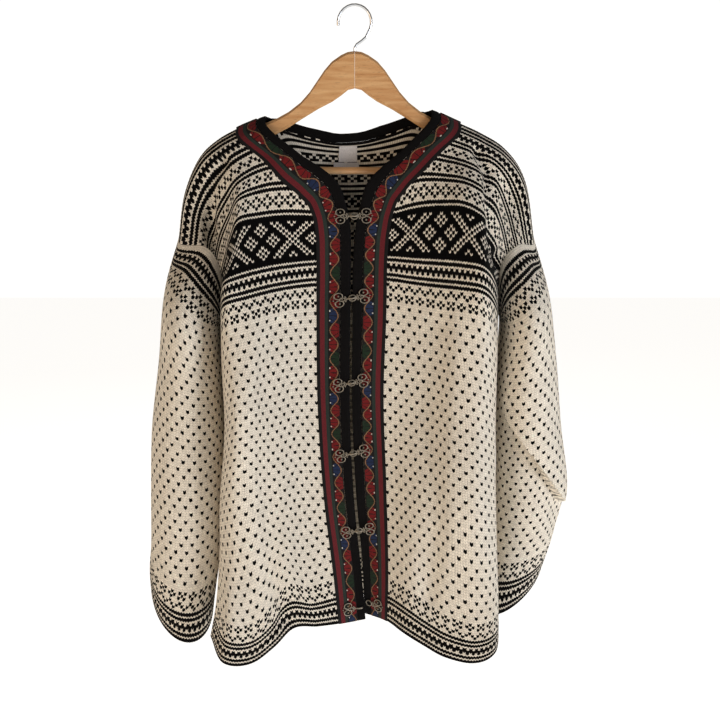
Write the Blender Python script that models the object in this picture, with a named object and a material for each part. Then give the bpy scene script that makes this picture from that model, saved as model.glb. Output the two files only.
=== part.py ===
"""Norwegian cardigan in stranded knitting, hanging on its wooden hanger.

The cloth is thin walls on one smooth surface for each panel. A place on a panel is given in flat
knitting measures: `across`, the distance from the centre front or centre back, and `drop`, the
distance down from the shoulder seam. Tables of cross sections say where those places hang.
The tables are in millimetres and the mesh in metres, +Z up, with the hook's seat at the origin.
The front faces -Y. "Right" and "left" are the wearer's, so the right side is -X.
"""
import math

import bmesh
import bpy
import numpy as np

MM = 0.001
SEAM_GAP = 0.3
WALL = 2.6

# Gauge and cut: a stitch is 4 mm wide and a row 3.5 mm high
STITCH = 4.0
ROW = 3.5
HALF_STITCHES = 70
BODY_ROWS = 212
ARMHOLE_ROWS = 58
HALF_WIDTH = HALF_STITCHES * STITCH
BODY_LENGTH = BODY_ROWS * ROW
ARMHOLE_DEPTH = ARMHOLE_ROWS * ROW
RIGHT, LEFT = -1, 1
UPWARD = np.array([0.37, 0.11, 1.0])                 # ranks the points of a seam, level ones too

# Trim: woven band on the knit, folded binding around its cut edge, facing behind the back neck
BINDING_WIDTH = 14.0
RIBBON_WIDTH = 33.0
TRIM_TOP = 1.4
RIBBON_UNDER = 0.4
BACK_LIFT = 1.2
BEHIND_GAP = 0.8
FACING_WIDTH = 4.0
FACING_THICK = 1.0

# Cut edge of a front, from the shoulder seam round the neck and down the centre front to the hem
FRONT_EDGE = ((96, 0), (96, 16), (90, 43), (76, 66), (53, 84), (33, 103), (22, 128), (17, 158),
              (15.5, 195), (15.5, 260), (15.5, 420), (15.5, 580), (15.5, BODY_LENGTH))
# Cut edge of the back neck, from the right shoulder seam to the left one
BACK_EDGE = ((-96, 0), (-94, 8), (-85, 19), (-64, 30), (-32, 33), (0, 33),
             (32, 33), (64, 30), (85, 19), (94, 8), (96, 0))

# Cross sections. A row holds the rows of knitting below the shoulder seam and, for each station
# outward from the middle, (outward, back, up) from the hook's seat.
STATIONS = (0, 12, 22, 32, 40, 48, 59, 70)
NECK_STATIONS = (16, 19)
ALL_STATIONS = STATIONS[:2] + NECK_STATIONS + STATIONS[2:]
RIGHT_FRONT = (
    (0, (50, 0, -143), (88, 0, -142), (124, 0, -141), (158, 0, -155), (184, 0, -169),
     (207, 0, -189), (231, 0, -237), (242, 0, -297)),
    (18, (4, -25, -195), (52, -25, -195), (94, -27, -192), (131, -28, -200), (157, -38, -216),
     (175, -28, -238), (198, -14, -276), (201, -38, -309)),
    (36, (2, -28, -259), (51, -30, -259), (91, -36, -257), (128, -48, -260), (153, -60, -266),
     (165, -54, -290), (174, -46, -316), (183, -34, -341)),
    (58, (4, -27, -337), (52, -28, -336), (87, -46, -337), (120, -67, -340), (147, -84, -345),
     (168, -94, -352), (180, -56, -380), (184, -8, -412)),
    (80, (5, -26, -416), (53, -26, -416), (85, -50, -414), (113, -77, -416), (138, -95, -420),
     (166, -98, -427), (181, -62, -454), (185, -20, -482)),
    (110, (6, -24, -524), (53, -24, -524), (86, -45, -520), (111, -76, -521), (128, -100, -520),
     (157, -109, -522), (177, -76, -544), (184, -34, -572)),
    (152, (1, -20, -671), (46, -22, -670), (80, -40, -664), (108, -68, -663), (132, -89, -661),
     (165, -97, -665), (190, -68, -684), (196, -28, -702)),
    (195, (-12, -4, -819), (31, -21, -817), (67, -43, -817), (96, -63, -804), (117, -75, -829),
     (144, -87, -850), (181, -98, -846), (204, -60, -832)),
    (212, (-17, -8, -881), (25, -23, -881), (56, -41, -875), (92, -58, -869), (118, -76, -888),
     (148, -90, -905), (190, -98, -900), (213, -62, -878)),
)
LEFT_FRONT = (
    (0, (34, 0, -133), (70, 0, -132), (107, 0, -133), (141, 0, -148), (170, 0, -161),
     (200, 0, -179), (231, 0, -222), (246, 0, -298)),
    (18, (-4, -25, -193), (44, -25, -191), (87, -27, -182), (125, -30, -188), (154, -36, -197),
     (184, -32, -214), (209, -16, -256), (221, -38, -306)),
    (36, (-2, -28, -258), (46, -30, -257), (82, -40, -247), (117, -56, -243), (143, -70, -244),
     (168, -72, -258), (186, -56, -290), (199, -34, -332)),
    (58, (-4, -27, -331), (44, -28, -330), (79, -45, -331), (113, -64, -331), (139, -81, -331),
     (165, -97, -334), (189, -60, -364), (201, -8, -406)),
    (80, (-5, -26, -405), (43, -26, -406), (80, -39, -409), (114, -60, -412), (139, -79, -412),
     (169, -88, -417), (192, -60, -442), (199, -20, -474)),
    (110, (-6, -24, -513), (40, -24, -514), (78, -34, -519), (111, -55, -521), (135, -76, -523),
     (166, -84, -528), (193, -60, -548), (199, -20, -570)),
    (152, (-1, -18, -660), (45, -22, -660), (77, -46, -662), (108, -70, -665), (134, -86, -667),
     (167, -93, -672), (197, -68, -688), (205, -26, -702)),
    (195, (10, 3, -815), (49, -22, -814), (77, -49, -819), (108, -60, -838), (137, -71, -851),
     (172, -82, -856), (204, -80, -842), (209, -42, -820)),
    (212, (12, 6, -878), (48, -20, -878), (70, -47, -881), (101, -66, -892), (130, -78, -903),
     (168, -88, -907), (203, -86, -891), (212, -52, -862)),
)
# Cross sections of the back, whose last station, the side seam or armhole, comes from the front
RIGHT_BACK = (
    (18, (6, 26, -200), (58, 27, -198), (98, 28, -197), (133, 30, -203), (158, 34, -217),
     (178, 32, -240), (200, 18, -276)),
    (36, (6, 32, -262), (56, 33, -261), (95, 36, -260), (130, 42, -264), (157, 50, -276),
     (172, 57, -302), (181, 50, -331)),
    (58, (6, 38, -338), (55, 39, -338), (93, 43, -338), (128, 52, -340), (156, 60, -346),
     (178, 60, -364), (188, 30, -396)),
    (80, (6, 42, -414), (54, 44, -414), (92, 50, -415), (128, 57, -417), (155, 57, -420),
     (176, 44, -430), (187, 16, -456)),
    (110, (6, 50, -520), (48, 54, -520), (84, 62, -521), (122, 67, -522), (152, 61, -525),
     (177, 43, -532), (189, 8, -554)),
    (152, (2, 46, -667), (46, 56, -667), (82, 70, -669), (120, 74, -671), (150, 66, -674),
     (176, 48, -678), (194, 12, -694)),
    (195, (-1, 44, -810), (48, 58, -812), (90, 74, -816), (128, 72, -819), (157, 56, -820),
     (182, 30, -822), (199, -16, -828)),
    (212, (-2, 46, -868), (50, 60, -872), (94, 76, -878), (132, 72, -880), (160, 54, -880),
     (184, 26, -878), (202, -18, -872)),
)
LEFT_BACK = (
    (18, (-6, 26, -200), (48, 27, -196), (88, 28, -190), (125, 32, -193), (154, 36, -201),
     (184, 32, -219), (211, 18, -258)),
    (36, (-6, 32, -262), (46, 33, -259), (84, 35, -255), (120, 40, -254), (148, 50, -261),
     (175, 57, -282), (195, 50, -316)),
    (58, (-6, 38, -338), (44, 40, -336), (84, 44, -334), (120, 50, -334), (148, 60, -338),
     (178, 60, -354), (199, 30, -388)),
    (80, (-6, 42, -414), (43, 44, -412), (83, 50, -411), (120, 56, -412), (150, 58, -414),
     (178, 44, -424), (196, 18, -448)),
    (110, (-6, 50, -520), (37, 54, -520), (76, 64, -520), (114, 70, -522), (146, 64, -525),
     (175, 46, -532), (196, 16, -550)),
    (152, (-2, 46, -667), (44, 54, -666), (80, 68, -667), (118, 74, -669), (149, 68, -672),
     (176, 44, -678), (196, 10, -690)),
    (195, (1, 44, -810), (50, 56, -811), (90, 72, -813), (128, 70, -815), (156, 52, -816),
     (178, 22, -818), (196, -14, -820)),
    (212, (2, 46, -868), (52, 58, -870), (94, 74, -873), (132, 70, -873), (158, 48, -871),
     (180, 18, -866), (198, -20, -860)),
)
# First two stations of the back neck, at the seam's height and on the ridge's row
BACK_NECK_RIGHT = (((6, 18, -142.5), (62, 9, -137)), ((6, 22, -156), (62, 17, -149)))
BACK_NECK_LEFT = (((-6, 18, -142.5), (50, 9, -131)), ((-6, 22, -156), (50, 17, -142)))
RIDGE_ROW = 4                                        # rows over the rounded ridge of the shoulders
RIDGE_HALF, RIDGE_FALL = 10.5, 8.0
BACK_OF_ARMHOLE = 0.75
ARMPIT_ROW = 62
ALL_ROWS = (-RIDGE_ROW, 0, RIDGE_ROW, 18, 36, ARMHOLE_ROWS, ARMPIT_ROW, 80, 110, 152, 195, BODY_ROWS)

# Sleeves. A row holds the share of the length from the armhole to the cuff, the middle of the
# section (outward, back, up), its half width and half depth, and how steeply the section falls
# towards the body and towards the front.
RIGHT_SLEEVE = (
    (0.16, (226, -4, -398), 36, 76, 0.90, 0.05),
    (0.32, (233.5, -4, -486), 43.5, 68, 0.40, 0.10),
    (0.50, (243, -4, -580), 50, 58, 0.20, 0.20),
    (0.68, (249, -6, -676), 51, 50, 0.10, 0.40),
    (0.84, (255, -6, -762), 50, 42, 0.13, 0.80),
    (0.94, (261, -4, -812), 49, 37, 0.33, 1.35),
    (1.00, (264, -2, -845), 46, 35, 0.50, 1.60),
)
LEFT_SLEEVE = (
    (0.16, (237, 0, -398), 31, 78, 0.90, 0.05),
    (0.32, (244, 2, -484), 41, 70, 0.45, 0.10),
    (0.50, (252.5, 6, -578), 45.5, 60, 0.30, 0.10),
    (0.68, (261.5, 12, -672), 51.5, 50, 0.10, 0.10),
    (0.84, (256, 26, -757), 48, 44, 0.30, 0.15),
    (0.94, (251, 34, -812), 43, 39, 0.60, 0.25),
    (1.00, (247, 38, -850), 41, 37, 0.95, 0.30),
)

# Hanger: two glued arms of flat wood, a dowel between their ends, and a wire hook
HANGER_DEPTH = 12.0
ARM_OUTLINE = (      # outward, top, bottom
    (0, -56, -103), (9, -57, -105), (18, -61, -112), (30, -69, -120), (40, -80, -125), (50, -94, -130),
    (60, -108, -136), (72, -121, -143), (88, -133, -153), (105, -142, -162), (131, -152, -175),
    (158, -161, -189), (183.0, -174.4, -204.8), (183.3, -174.6, -216), (196, -186, -217.5),
    (204, -196, -214),
)
BAR_RADIUS = 4.8
BAR_HEIGHT = -210.0
BAR_END = 183.0
WIRE_RADIUS = 1.8
HOOK_RADIUS = 21.8

# Clasps: how far down the band each one sits, and the shapes of their halves
CLASP_DROPS = (136, 250, 369, 474, 597, 722)
CLASP_SEAT = 0.3
OPEN_CLASP = 12.0


def spline_weights(knots, values):
    """Weights of a smooth curve through the knots at the values, straight beyond its ends."""
    knots = np.asarray(knots, float)
    values = np.atleast_1d(np.asarray(values, float))
    count = len(knots)
    steps = np.diff(knots)
    slope = np.zeros((count, count))
    for i in range(count):
        before, after = max(i - 1, 0), min(i, count - 2)
        share = 0.5 if before == after else steps[before] / (steps[before] + steps[after])
        for cell, part in ((before, 1 - share), (after, share)):
            slope[i, cell + 1] += part / steps[cell]
            slope[i, cell] -= part / steps[cell]
    cell = np.clip(np.searchsorted(knots, values, side="right") - 1, 0, count - 2)
    held = np.clip(values, knots[0], knots[-1])
    t = (held - knots[cell]) / steps[cell]
    one = np.eye(count)
    weights = ((2 * t**3 - 3 * t**2 + 1)[:, None] * one[cell]
               + (3 * t**2 - 2 * t**3)[:, None] * one[cell + 1]
               + ((t**3 - 2 * t**2 + t) * steps[cell])[:, None] * slope[cell]
               + ((t**3 - t**2) * steps[cell])[:, None] * slope[cell + 1])
    end = np.where(values < knots[0], 0, count - 1)
    return weights + (values - held)[:, None] * slope[end]


def unit(vectors):
    """The vectors at length one."""
    return vectors / np.linalg.norm(vectors, axis=-1, keepdims=True)


class Panel:
    """The smooth surface of one knitted panel, by its flat measures in millimetres."""

    def __init__(self, rows, stations, points, turn):
        self.rows = np.array(rows, float) * ROW
        self.stations = np.array(stations, float) * STITCH
        self.points = np.array(points, float)
        self.turn = turn

    def at(self, across, drop):
        """Points of the outer face."""
        across, drop = np.broadcast_arrays(np.asarray(across, float), np.asarray(drop, float))
        by_row = spline_weights(self.rows, drop.ravel())
        by_station = spline_weights(self.stations, across.ravel())
        points = np.einsum("ni,nj,ijc->nc", by_row, by_station, self.points)
        return points.reshape(across.shape + (3,))

    def slopes(self, across, drop, step=0.5):
        """Unit directions outward along the row and down the panel."""
        along = self.at(across + step, drop) - self.at(across - step, drop)
        down = self.at(across, drop + step) - self.at(across, drop - step)
        return unit(along), unit(down)

    def normal(self, across, drop):
        """Directions out of the garment."""
        along, down = self.slopes(across, drop)
        normals = self.turn * np.cross(down, along)
        on_seam = np.broadcast_to(np.asarray(drop) <= SEAM_GAP, normals.shape[:-1])
        normals[on_seam, 1] = 0                        # front and back meet squarely on the ridge
        return unit(normals)


def over_ridge(seam, towards):
    """The section a few rows below the shoulder seam, where the cloth has come over the ridge."""
    return seam + (0, towards * RIDGE_HALF, -RIDGE_FALL)


def with_neck_stations(points):
    """The sections with two more stations beside the neck.

    On the ridge they lie straight on from the shoulder, so that front and back share one seam.
    """
    extra = np.einsum("ni,ric->rnc", spline_weights(STATIONS, NECK_STATIONS), points)
    for i, station in enumerate(NECK_STATIONS):
        on = (station - STATIONS[2]) / (STATIONS[3] - STATIONS[2])
        extra[:3, i] = points[:3, 2] + on * (points[:3, 3] - points[:3, 2])
    return np.concatenate([points[:, :2], extra, points[:, 2:]], axis=1)


def with_armpit_row(rows, sections):
    """The sections with one more just below the armhole, so that the side seams run alike."""
    below = ALL_ROWS.index(ARMPIT_ROW) - 3
    extra = np.einsum("ni,ikc->nkc", spline_weights(rows, ARMPIT_ROW), np.array(sections))
    return sections[:below] + [extra[0]] + sections[below:]


def front_panel(table, side):
    """A front from its table. The surface also runs over the ridge, so that it meets the back."""
    rows = [row[0] for row in table]
    sections = [np.array(row[1:], float) for row in table]
    ridge = [over_ridge(sections[0], 1), sections[0], over_ridge(sections[0], -1)]
    points = with_neck_stations(np.array(ridge + with_armpit_row(rows[1:], sections[1:])))
    points[..., 0] *= side
    return Panel(ALL_ROWS, ALL_STATIONS, points, side)


def back_half(table, front_table, neck):
    """The sections of half a back, closed at the side seam or armhole by the front's last station."""
    rows = [row[0] for row in table]
    sections = with_armpit_row(rows, [np.array(row[1:], float) for row in table])
    seam = front_panel(front_table, LEFT).points[3:, -1]
    for i, row in enumerate(ALL_ROWS[3:]):
        edge = seam[i] * (1, -BACK_OF_ARMHOLE, 1) if row < ARMHOLE_ROWS else seam[i]
        sections[i] = np.concatenate([sections[i], [edge]])
    shoulder = np.array(front_table[0][1:], float)
    ridge = [over_ridge(shoulder, -1), shoulder, over_ridge(shoulder, 1)]
    for section, places in zip(ridge[1:], neck):
        section[:2] = places
    ridge[0][:2] = 2 * ridge[1][:2] - ridge[2][:2]
    return with_neck_stations(np.array(ridge + sections))


def back_panel():
    """The back from its two halves."""
    right = back_half(RIGHT_BACK, RIGHT_FRONT, BACK_NECK_RIGHT)
    left = back_half(LEFT_BACK, LEFT_FRONT, BACK_NECK_LEFT)
    right[..., 0] *= RIGHT
    stations = [-k for k in ALL_STATIONS[:0:-1]] + list(ALL_STATIONS)
    return Panel(ALL_ROWS, stations, np.concatenate([right[:, :0:-1], left], axis=1), -1)


class Edge:
    """A smooth cut edge in flat measures, with the direction that leads into the knit.

    The shares are places along its length, and every piece that meets there takes the same ones.
    """

    def __init__(self, corners, shares, into_knit):
        corners = np.array([(a, max(d, SEAM_GAP / 2)) for a, d in corners], float)
        length = np.concatenate([[0], np.cumsum(np.linalg.norm(np.diff(corners, axis=0), axis=1))])
        where = np.asarray(shares, float) * length[-1]
        self.flat = spline_weights(length, where) @ corners
        ahead = unit(spline_weights(length, where + 0.5) @ corners
                     - spline_weights(length, where - 0.5) @ corners)
        self.inward = into_knit * np.stack([-ahead[:, 1], ahead[:, 0]], axis=1)
        for end in (0, -1):                            # the ends are cut along a seam or a hem
            self.inward[end] = unit(np.round(self.inward[end]))

    def offset(self, width):
        """The flat measures of the line that lies this far into the knit."""
        flat = self.flat + width * self.inward
        return flat[:, 0], flat[:, 1]


def colour_value(hex_colour):
    """A display colour as the linear value that a shader takes."""
    parts = [int(hex_colour[i:i + 2], 16) / 255 for i in (1, 3, 5)]
    return [p / 12.92 if p <= 0.04045 else ((p + 0.055) / 1.055) ** 2.4 for p in parts] + [1.0]


def material(name, hex_colour, roughness, metallic=0.0):
    """A plain surface."""
    made = bpy.data.materials.new(name)
    made.use_nodes = True
    shader = made.node_tree.nodes["Principled BSDF"]
    shader.inputs["Base Color"].default_value = colour_value(hex_colour)
    shader.inputs["Roughness"].default_value = roughness
    shader.inputs["Metallic"].default_value = metallic
    return made


def add_body(name, points, faces, finish, smooth=True):
    """One closed body from points in millimetres, with its faces turned outward."""
    mesh = bpy.data.meshes.new(name)
    mesh.from_pydata([tuple(p) for p in np.asarray(points) * MM], [], faces)
    work = bmesh.new()
    work.from_mesh(mesh)
    bmesh.ops.recalc_face_normals(work, faces=work.faces)
    work.to_mesh(mesh)
    work.free()
    mesh.materials.append(finish)
    if smooth:
        mesh.shade_smooth()
        mesh.set_sharp_from_angle(angle=math.radians(40))
    body = bpy.data.objects.new(name, mesh)
    bpy.context.scene.collection.objects.link(body)
    return body


def rim_faces(points, a, b, size, forward):
    """Two triangles across the rim between two outer points, `size` places before their inner ones.

    The diagonal leaves the outer point that lies higher, so that rims which meet at a seam match.
    """
    if points[a] @ UPWARD > points[b] @ UPWARD:
        faces = [[a, a + size, b + size], [a, b + size, b]]
    else:
        faces = [[a, a + size, b], [a + size, b + size, b]]
    return faces if forward else [face[::-1] for face in faces]


def wall(name, outer, inner, finish, tube=False):
    """A closed wall between two grids of points. The grid's rows are closed rings for a tube.

    Both faces are cut into triangles along the same diagonals, so that the wall stays even and
    what is laid on it by the same points lies parallel.
    """
    rows, columns = outer.shape[:2]
    points = np.concatenate([outer.reshape(-1, 3), inner.reshape(-1, 3)])
    size = rows * columns

    def corner(r, c, side):
        return side * size + r * columns + c % columns

    faces = []
    spans = columns if tube else columns - 1
    for r in range(rows - 1):
        for c in range(spans):
            for side in (0, 1):
                a, b = corner(r, c, side), corner(r, c + 1, side)
                d, e = corner(r + 1, c, side), corner(r + 1, c + 1, side)
                faces += [[a, b, e], [a, e, d]] if side == 0 else [[a, e, b], [a, d, e]]
    rims = [(corner(r, c, 0), corner(r, c + 1, 0), r == 0) for r in (0, rows - 1) for c in range(spans)]
    if not tube:
        rims += [(corner(r, c, 0), corner(r + 1, c, 0), c > 0)
                 for c in (0, columns - 1) for r in range(rows - 1)]
    for a, b, forward in rims:
        faces += rim_faces(points, a, b, size, forward)
    return add_body(name, points, faces, finish)


ARMHOLE_DROPS = np.array([0, 5, 11, 19, 30, 44, 62, 84, 108, 133, 158, 182, ARMHOLE_DEPTH])
LOWER_DROPS = np.array([240, 285, 335, 390, 450, 510, 570, 626, 676, 712, BODY_LENGTH])
RIBBON_LINES = np.linspace(0, RIBBON_WIDTH, 4)
BINDING_LINES = -0.5 - np.linspace(0, BINDING_WIDTH - 0.2, 3)
FRONT_SHARES = np.array([0.08, 0.165, 0.255, 0.345, 0.435, 0.525, 0.62, 0.715, 0.80, 0.88, 0.945, 1.0])
BACK_EDGE_SHARES = np.array([0, 0.025, 0.055, 0.09, 0.14, 0.20, 0.29, 0.39, 0.5,
                             0.61, 0.71, 0.80, 0.86, 0.91, 0.945, 0.975, 1.0])
BACK_SHOULDER = np.array([107, 118, 129, 147, 166, 186, 206, 226, 245, 264])


def panel_drops():
    """Heights of the grid's rows, the same for every panel, trimmed by half a gap at the seam."""
    drops = np.concatenate([ARMHOLE_DROPS, LOWER_DROPS])
    drops[0] = SEAM_GAP / 2
    return drops


def front_edge():
    """A front's cut edge, with a place for each row of the grid."""
    return Edge(FRONT_EDGE, np.concatenate([ARMHOLE_DROPS, LOWER_DROPS]) / BODY_LENGTH, -1)


def back_edge(first=0.0, last=1.0):
    """The back's cut edge, or its middle part."""
    shares = BACK_EDGE_SHARES[(BACK_EDGE_SHARES >= first) & (BACK_EDGE_SHARES <= last)]
    return Edge(BACK_EDGE, shares, 1)


def front_grid(panel):
    """Points and normals of a front's outer face. Its rows run from the cut edge to the side.

    The first columns are the lines of the woven band, which then lies on these very points.
    """
    drops = panel_drops()[:, None]
    lines = [front_edge().offset(width) for width in RIBBON_LINES]
    band_across, band_drop = [np.stack(flat, axis=1) for flat in zip(*lines)]
    start, start_drop = band_across[:, -1:], band_drop[:, -1:]
    across = start + (HALF_WIDTH - SEAM_GAP / 2 - start) * FRONT_SHARES
    drop = start_drop + (drops - start_drop) * FRONT_SHARES ** 0.7
    across = np.concatenate([band_across, across], axis=1)
    drop = np.concatenate([band_drop, drop], axis=1)
    return panel.at(across, drop), panel.normal(across, drop)


def back_grid(panel):
    """Points and normals of the back's outer face. Its columns start at the neck's edge."""
    neck_across, neck_drop = back_edge().offset(0)
    shoulder = np.append(BACK_SHOULDER, HALF_WIDTH - SEAM_GAP / 2)
    across = np.concatenate([-shoulder[::-1], neck_across, shoulder])
    start = np.concatenate([0 * shoulder, neck_drop - SEAM_GAP / 2, 0 * shoulder])
    drops = panel_drops()[:, None]
    drop = drops + start * np.clip(1 - drops / ARMHOLE_DROPS[8], 0, 1)
    across = np.repeat(across[None, :], len(drops), axis=0)
    return panel.at(across, drop), panel.normal(across, drop)


def share_edge(first, second):
    """Makes two panels' normals equal along a seam, so that their rims lie parallel."""
    both = unit(first + second)
    first[...] = both
    second[...] = both


def ring_at_share(middle, half_width, half_depth, fall_in, fall_front, side, shares):
    """A sleeve's section, from its outer edge over the front, the body's side and the back."""
    angle = np.linspace(0, 2 * math.pi, 121)
    outward = half_width * np.cos(angle)
    back = -half_depth * np.sin(angle)
    up = fall_in * outward + fall_front * back
    loop = np.stack([outward, back, up], axis=1) + middle
    loop[:, 0] *= side
    length = np.concatenate([[0], np.cumsum(np.linalg.norm(np.diff(loop, axis=0), axis=1))])
    where = shares * length[-1]
    return np.stack([np.interp(where, length, loop[:, i]) for i in range(3)], axis=1)


def sleeve_grid(table, side, front, back):
    """Points and normals of a sleeve's outer face, and the body's normals along the armhole."""
    drops = ARMHOLE_DROPS
    back_across = side * HALF_WIDTH
    seam_front = front.at(HALF_WIDTH, drops)
    seam_back = back.at(back_across, drops)[-2:0:-1]
    seam = np.concatenate([seam_front, seam_back])
    shares = np.concatenate([drops, 2 * ARMHOLE_DEPTH - drops[-2:0:-1]]) / (2 * ARMHOLE_DEPTH)
    rings = [seam] + [ring_at_share(row[1], *row[2:], side, shares) for row in table]
    knots = [0] + [row[0] for row in table]
    body_normal = np.concatenate([front.normal(HALF_WIDTH, drops), back.normal(back_across, drops)[-2:0:-1]])
    body_out = np.concatenate([front.slopes(HALF_WIDTH, drops)[0],
                               side * back.slopes(back_across, drops)[0][-2:0:-1]])
    last = len(drops) - 1
    for flat in (body_normal, body_out):               # the seam's two ends belong to both panels
        flat[0, 1] = 0
    body_out[last] = (0, 0, 1)
    body_normal[last] = (side, 0, 0)
    ahead = unit(np.roll(seam, -1, axis=0) - np.roll(seam, 1, axis=0))
    body_out -= (body_out * ahead).sum(1)[:, None] * ahead
    body_normal, body_out = unit(body_normal), unit(body_out)
    rows = np.array([0, 0.04, 0.09, 0.16, 0.24, 0.32, 0.41, 0.5, 0.59, 0.68, 0.76, 0.84, 0.9, 0.95, 1])

    def surface(row_shares):
        return np.einsum("ri,inc->rnc", spline_weights(knots, row_shares), np.array(rings))

    leave = unit(surface([0.01])[0] - seam)
    leave = unit(leave - (leave * ahead).sum(1)[:, None] * ahead)
    own = unit(side * np.cross(ahead, leave))
    fold = np.arctan2((leave * body_normal).sum(1), (leave * body_out).sum(1))
    fold = np.where(fold < -math.pi / 2, math.pi, fold)
    middle = unit(np.cos(fold / 2)[:, None] * body_out + np.sin(fold / 2)[:, None] * body_normal)
    mitre = np.clip(fold / 2, -math.pi / 4, math.pi / 4)[:, None]
    body_rim = unit(np.cos(mitre) * body_normal - np.sin(mitre) * body_out)
    sleeve_rim = unit(np.cos(mitre) * own + np.sin(mitre) * leave)
    rings[0] = seam + SEAM_GAP * middle
    points = surface(rows)
    around = np.roll(points, -1, axis=1) - np.roll(points, 1, axis=1)
    down = np.gradient(points, axis=0)
    normals = unit(side * np.cross(around, down))
    normals[0] = sleeve_rim
    return points, normals, body_rim, len(drops)


def make_cloth(wool):
    """The five knitted panels. Returns their surfaces for what is sewn on."""
    fronts = {RIGHT: front_panel(RIGHT_FRONT, RIGHT), LEFT: front_panel(LEFT_FRONT, LEFT)}
    back = back_panel()
    back_points, back_normals = back_grid(back)
    for side, table, word in ((RIGHT, RIGHT_SLEEVE, "right"), (LEFT, LEFT_SLEEVE, "left")):
        points, normals = front_grid(fronts[side])
        edge = back_normals[:, 0 if side == RIGHT else -1]
        armhole = len(ARMHOLE_DROPS)
        share_edge(normals[armhole - 1:, -1], edge[armhole - 1:])
        sleeve, sleeve_normals, rim, count = sleeve_grid(table, side, fronts[side], back)
        normals[1:count - 1, -1] = rim[1:count - 1]
        edge[1:count - 1] = rim[:count - 1:-1]
        wall("front_" + word, points, points - WALL * unit(normals), wool)
        wall("sleeve_" + word, sleeve, sleeve - WALL * sleeve_normals, wool, tube=True)
    wall("back", back_points, back_points - WALL * back_normals, wool)
    return fronts, back


def strip(name, panel, edge, widths, top, under, finish):
    """A band laid along a cut edge, its faces at two heights above the panel's outer face."""
    outer, inner = [], []
    for width in widths:
        across, drop = edge.offset(width)
        points, normals = panel.at(across, drop), panel.normal(across, drop)
        outer.append(points + top * normals)
        inner.append(points + under * normals)
    return wall(name, np.array(outer), np.array(inner), finish)


def make_trim(fronts, back, ribbon_cloth, binding_cloth, label_cloth):
    """The woven band and the black binding around the front opening and the neck."""
    for side, word in ((RIGHT, "right"), (LEFT, "left")):
        edge = front_edge()
        strip("ribbon_" + word, fronts[side], edge, RIBBON_LINES, TRIM_TOP, RIBBON_UNDER, ribbon_cloth)
        strip("binding_" + word, fronts[side], edge, BINDING_LINES, TRIM_TOP, -WALL, binding_cloth)
    strip("ribbon_back", back, back_edge(), RIBBON_LINES, TRIM_TOP + BACK_LIFT,
          RIBBON_UNDER + BACK_LIFT, ribbon_cloth)
    strip("binding_back", back, back_edge(), BINDING_LINES, TRIM_TOP, -WALL, binding_cloth)
    behind = -WALL - BEHIND_GAP
    facing_lines = np.linspace(0.6, FACING_WIDTH, 3)
    strip("neck_facing", back, back_edge(0.1, 0.9), facing_lines, behind, behind - FACING_THICK,
          binding_cloth)
    for name, left, right, high, low in (("neck_label", -15, 8, 38, 62), ("size_tag", -21, 10, 63, 70)):
        across, drop = np.meshgrid(np.linspace(left, right, 4), np.linspace(high, low, 4))
        points, normals = back.at(across, drop), back.normal(across, drop)
        wall(name, points + behind * normals, points + (behind - 0.8) * normals, label_cloth)


def plate(name, frame, rows, finish, hole=None):
    """A flat metal piece. Rows hold its place along the clasp, half width, underside and top.

    A hole is given by the first and last row that it spans and its half height.
    """
    origin, along, up, out = frame
    points, faces = [], []

    def add(a, b, c):
        points.append(origin + a * along + b * up + c * out)
        return len(points) - 1

    columns = []
    for index, (a, half, under, top) in enumerate(rows):
        inside = hole is not None and hole[0] < index < hole[1]
        rise = 0.0
        if inside:
            share = (index - hole[0]) / (hole[1] - hole[0])
            rise = hole[2] * math.sin(math.pi * share)
        levels = (half, rise, -rise, -half) if inside else (half, 0.0, 0.0, -half)
        pair = []
        for c in (under, top):
            made = [add(a, b, c) for b in levels[:2]]
            made += [add(a, b, c) for b in levels[2:]] if inside else [made[1], add(a, levels[3], c)]
            pair.append(made)
        columns.append(pair)
    for first, second in zip(columns, columns[1:]):
        for low, high in ((0, 1), (2, 3)):
            faces.append([first[0][low], first[0][high], second[0][high], second[0][low]])
            faces.append([first[1][low], second[1][low], second[1][high], first[1][high]])
        for rim in (0, 3):
            faces.append([first[0][rim], second[0][rim], second[1][rim], first[1][rim]])
        for rim in (1, 2):
            if first[0][1] != first[0][2] or second[0][1] != second[0][2]:
                faces.append([first[0][rim], first[1][rim], second[1][rim], second[0][rim]])
    for end in (columns[0], columns[-1]):
        faces.append([end[0][0], end[0][1], end[1][1], end[1][0]])
        faces.append([end[0][2], end[0][3], end[1][3], end[1][2]])
    return add_body(name, points, faces, finish, smooth=False)


PLATE_THICK = 1.6
HOOK_RISE = PLATE_THICK + 0.4


def rosette_rows(sign):
    """The wide end of a clasp and its stem, from the middle of the clasp outward."""
    shape = ((7.0, 2.6), (8.2, 3.2), (9.4, 6.8), (11.0, 9.6), (13.4, 10.2), (15.6, 9.2), (17.2, 8.4),
             (18.8, 9.2), (20.8, 10.0), (23.0, 8.8), (24.8, 4.6), (26.0, 2.0))
    return [(sign * a, half, 0.0, PLATE_THICK) for a, half in shape]


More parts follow.
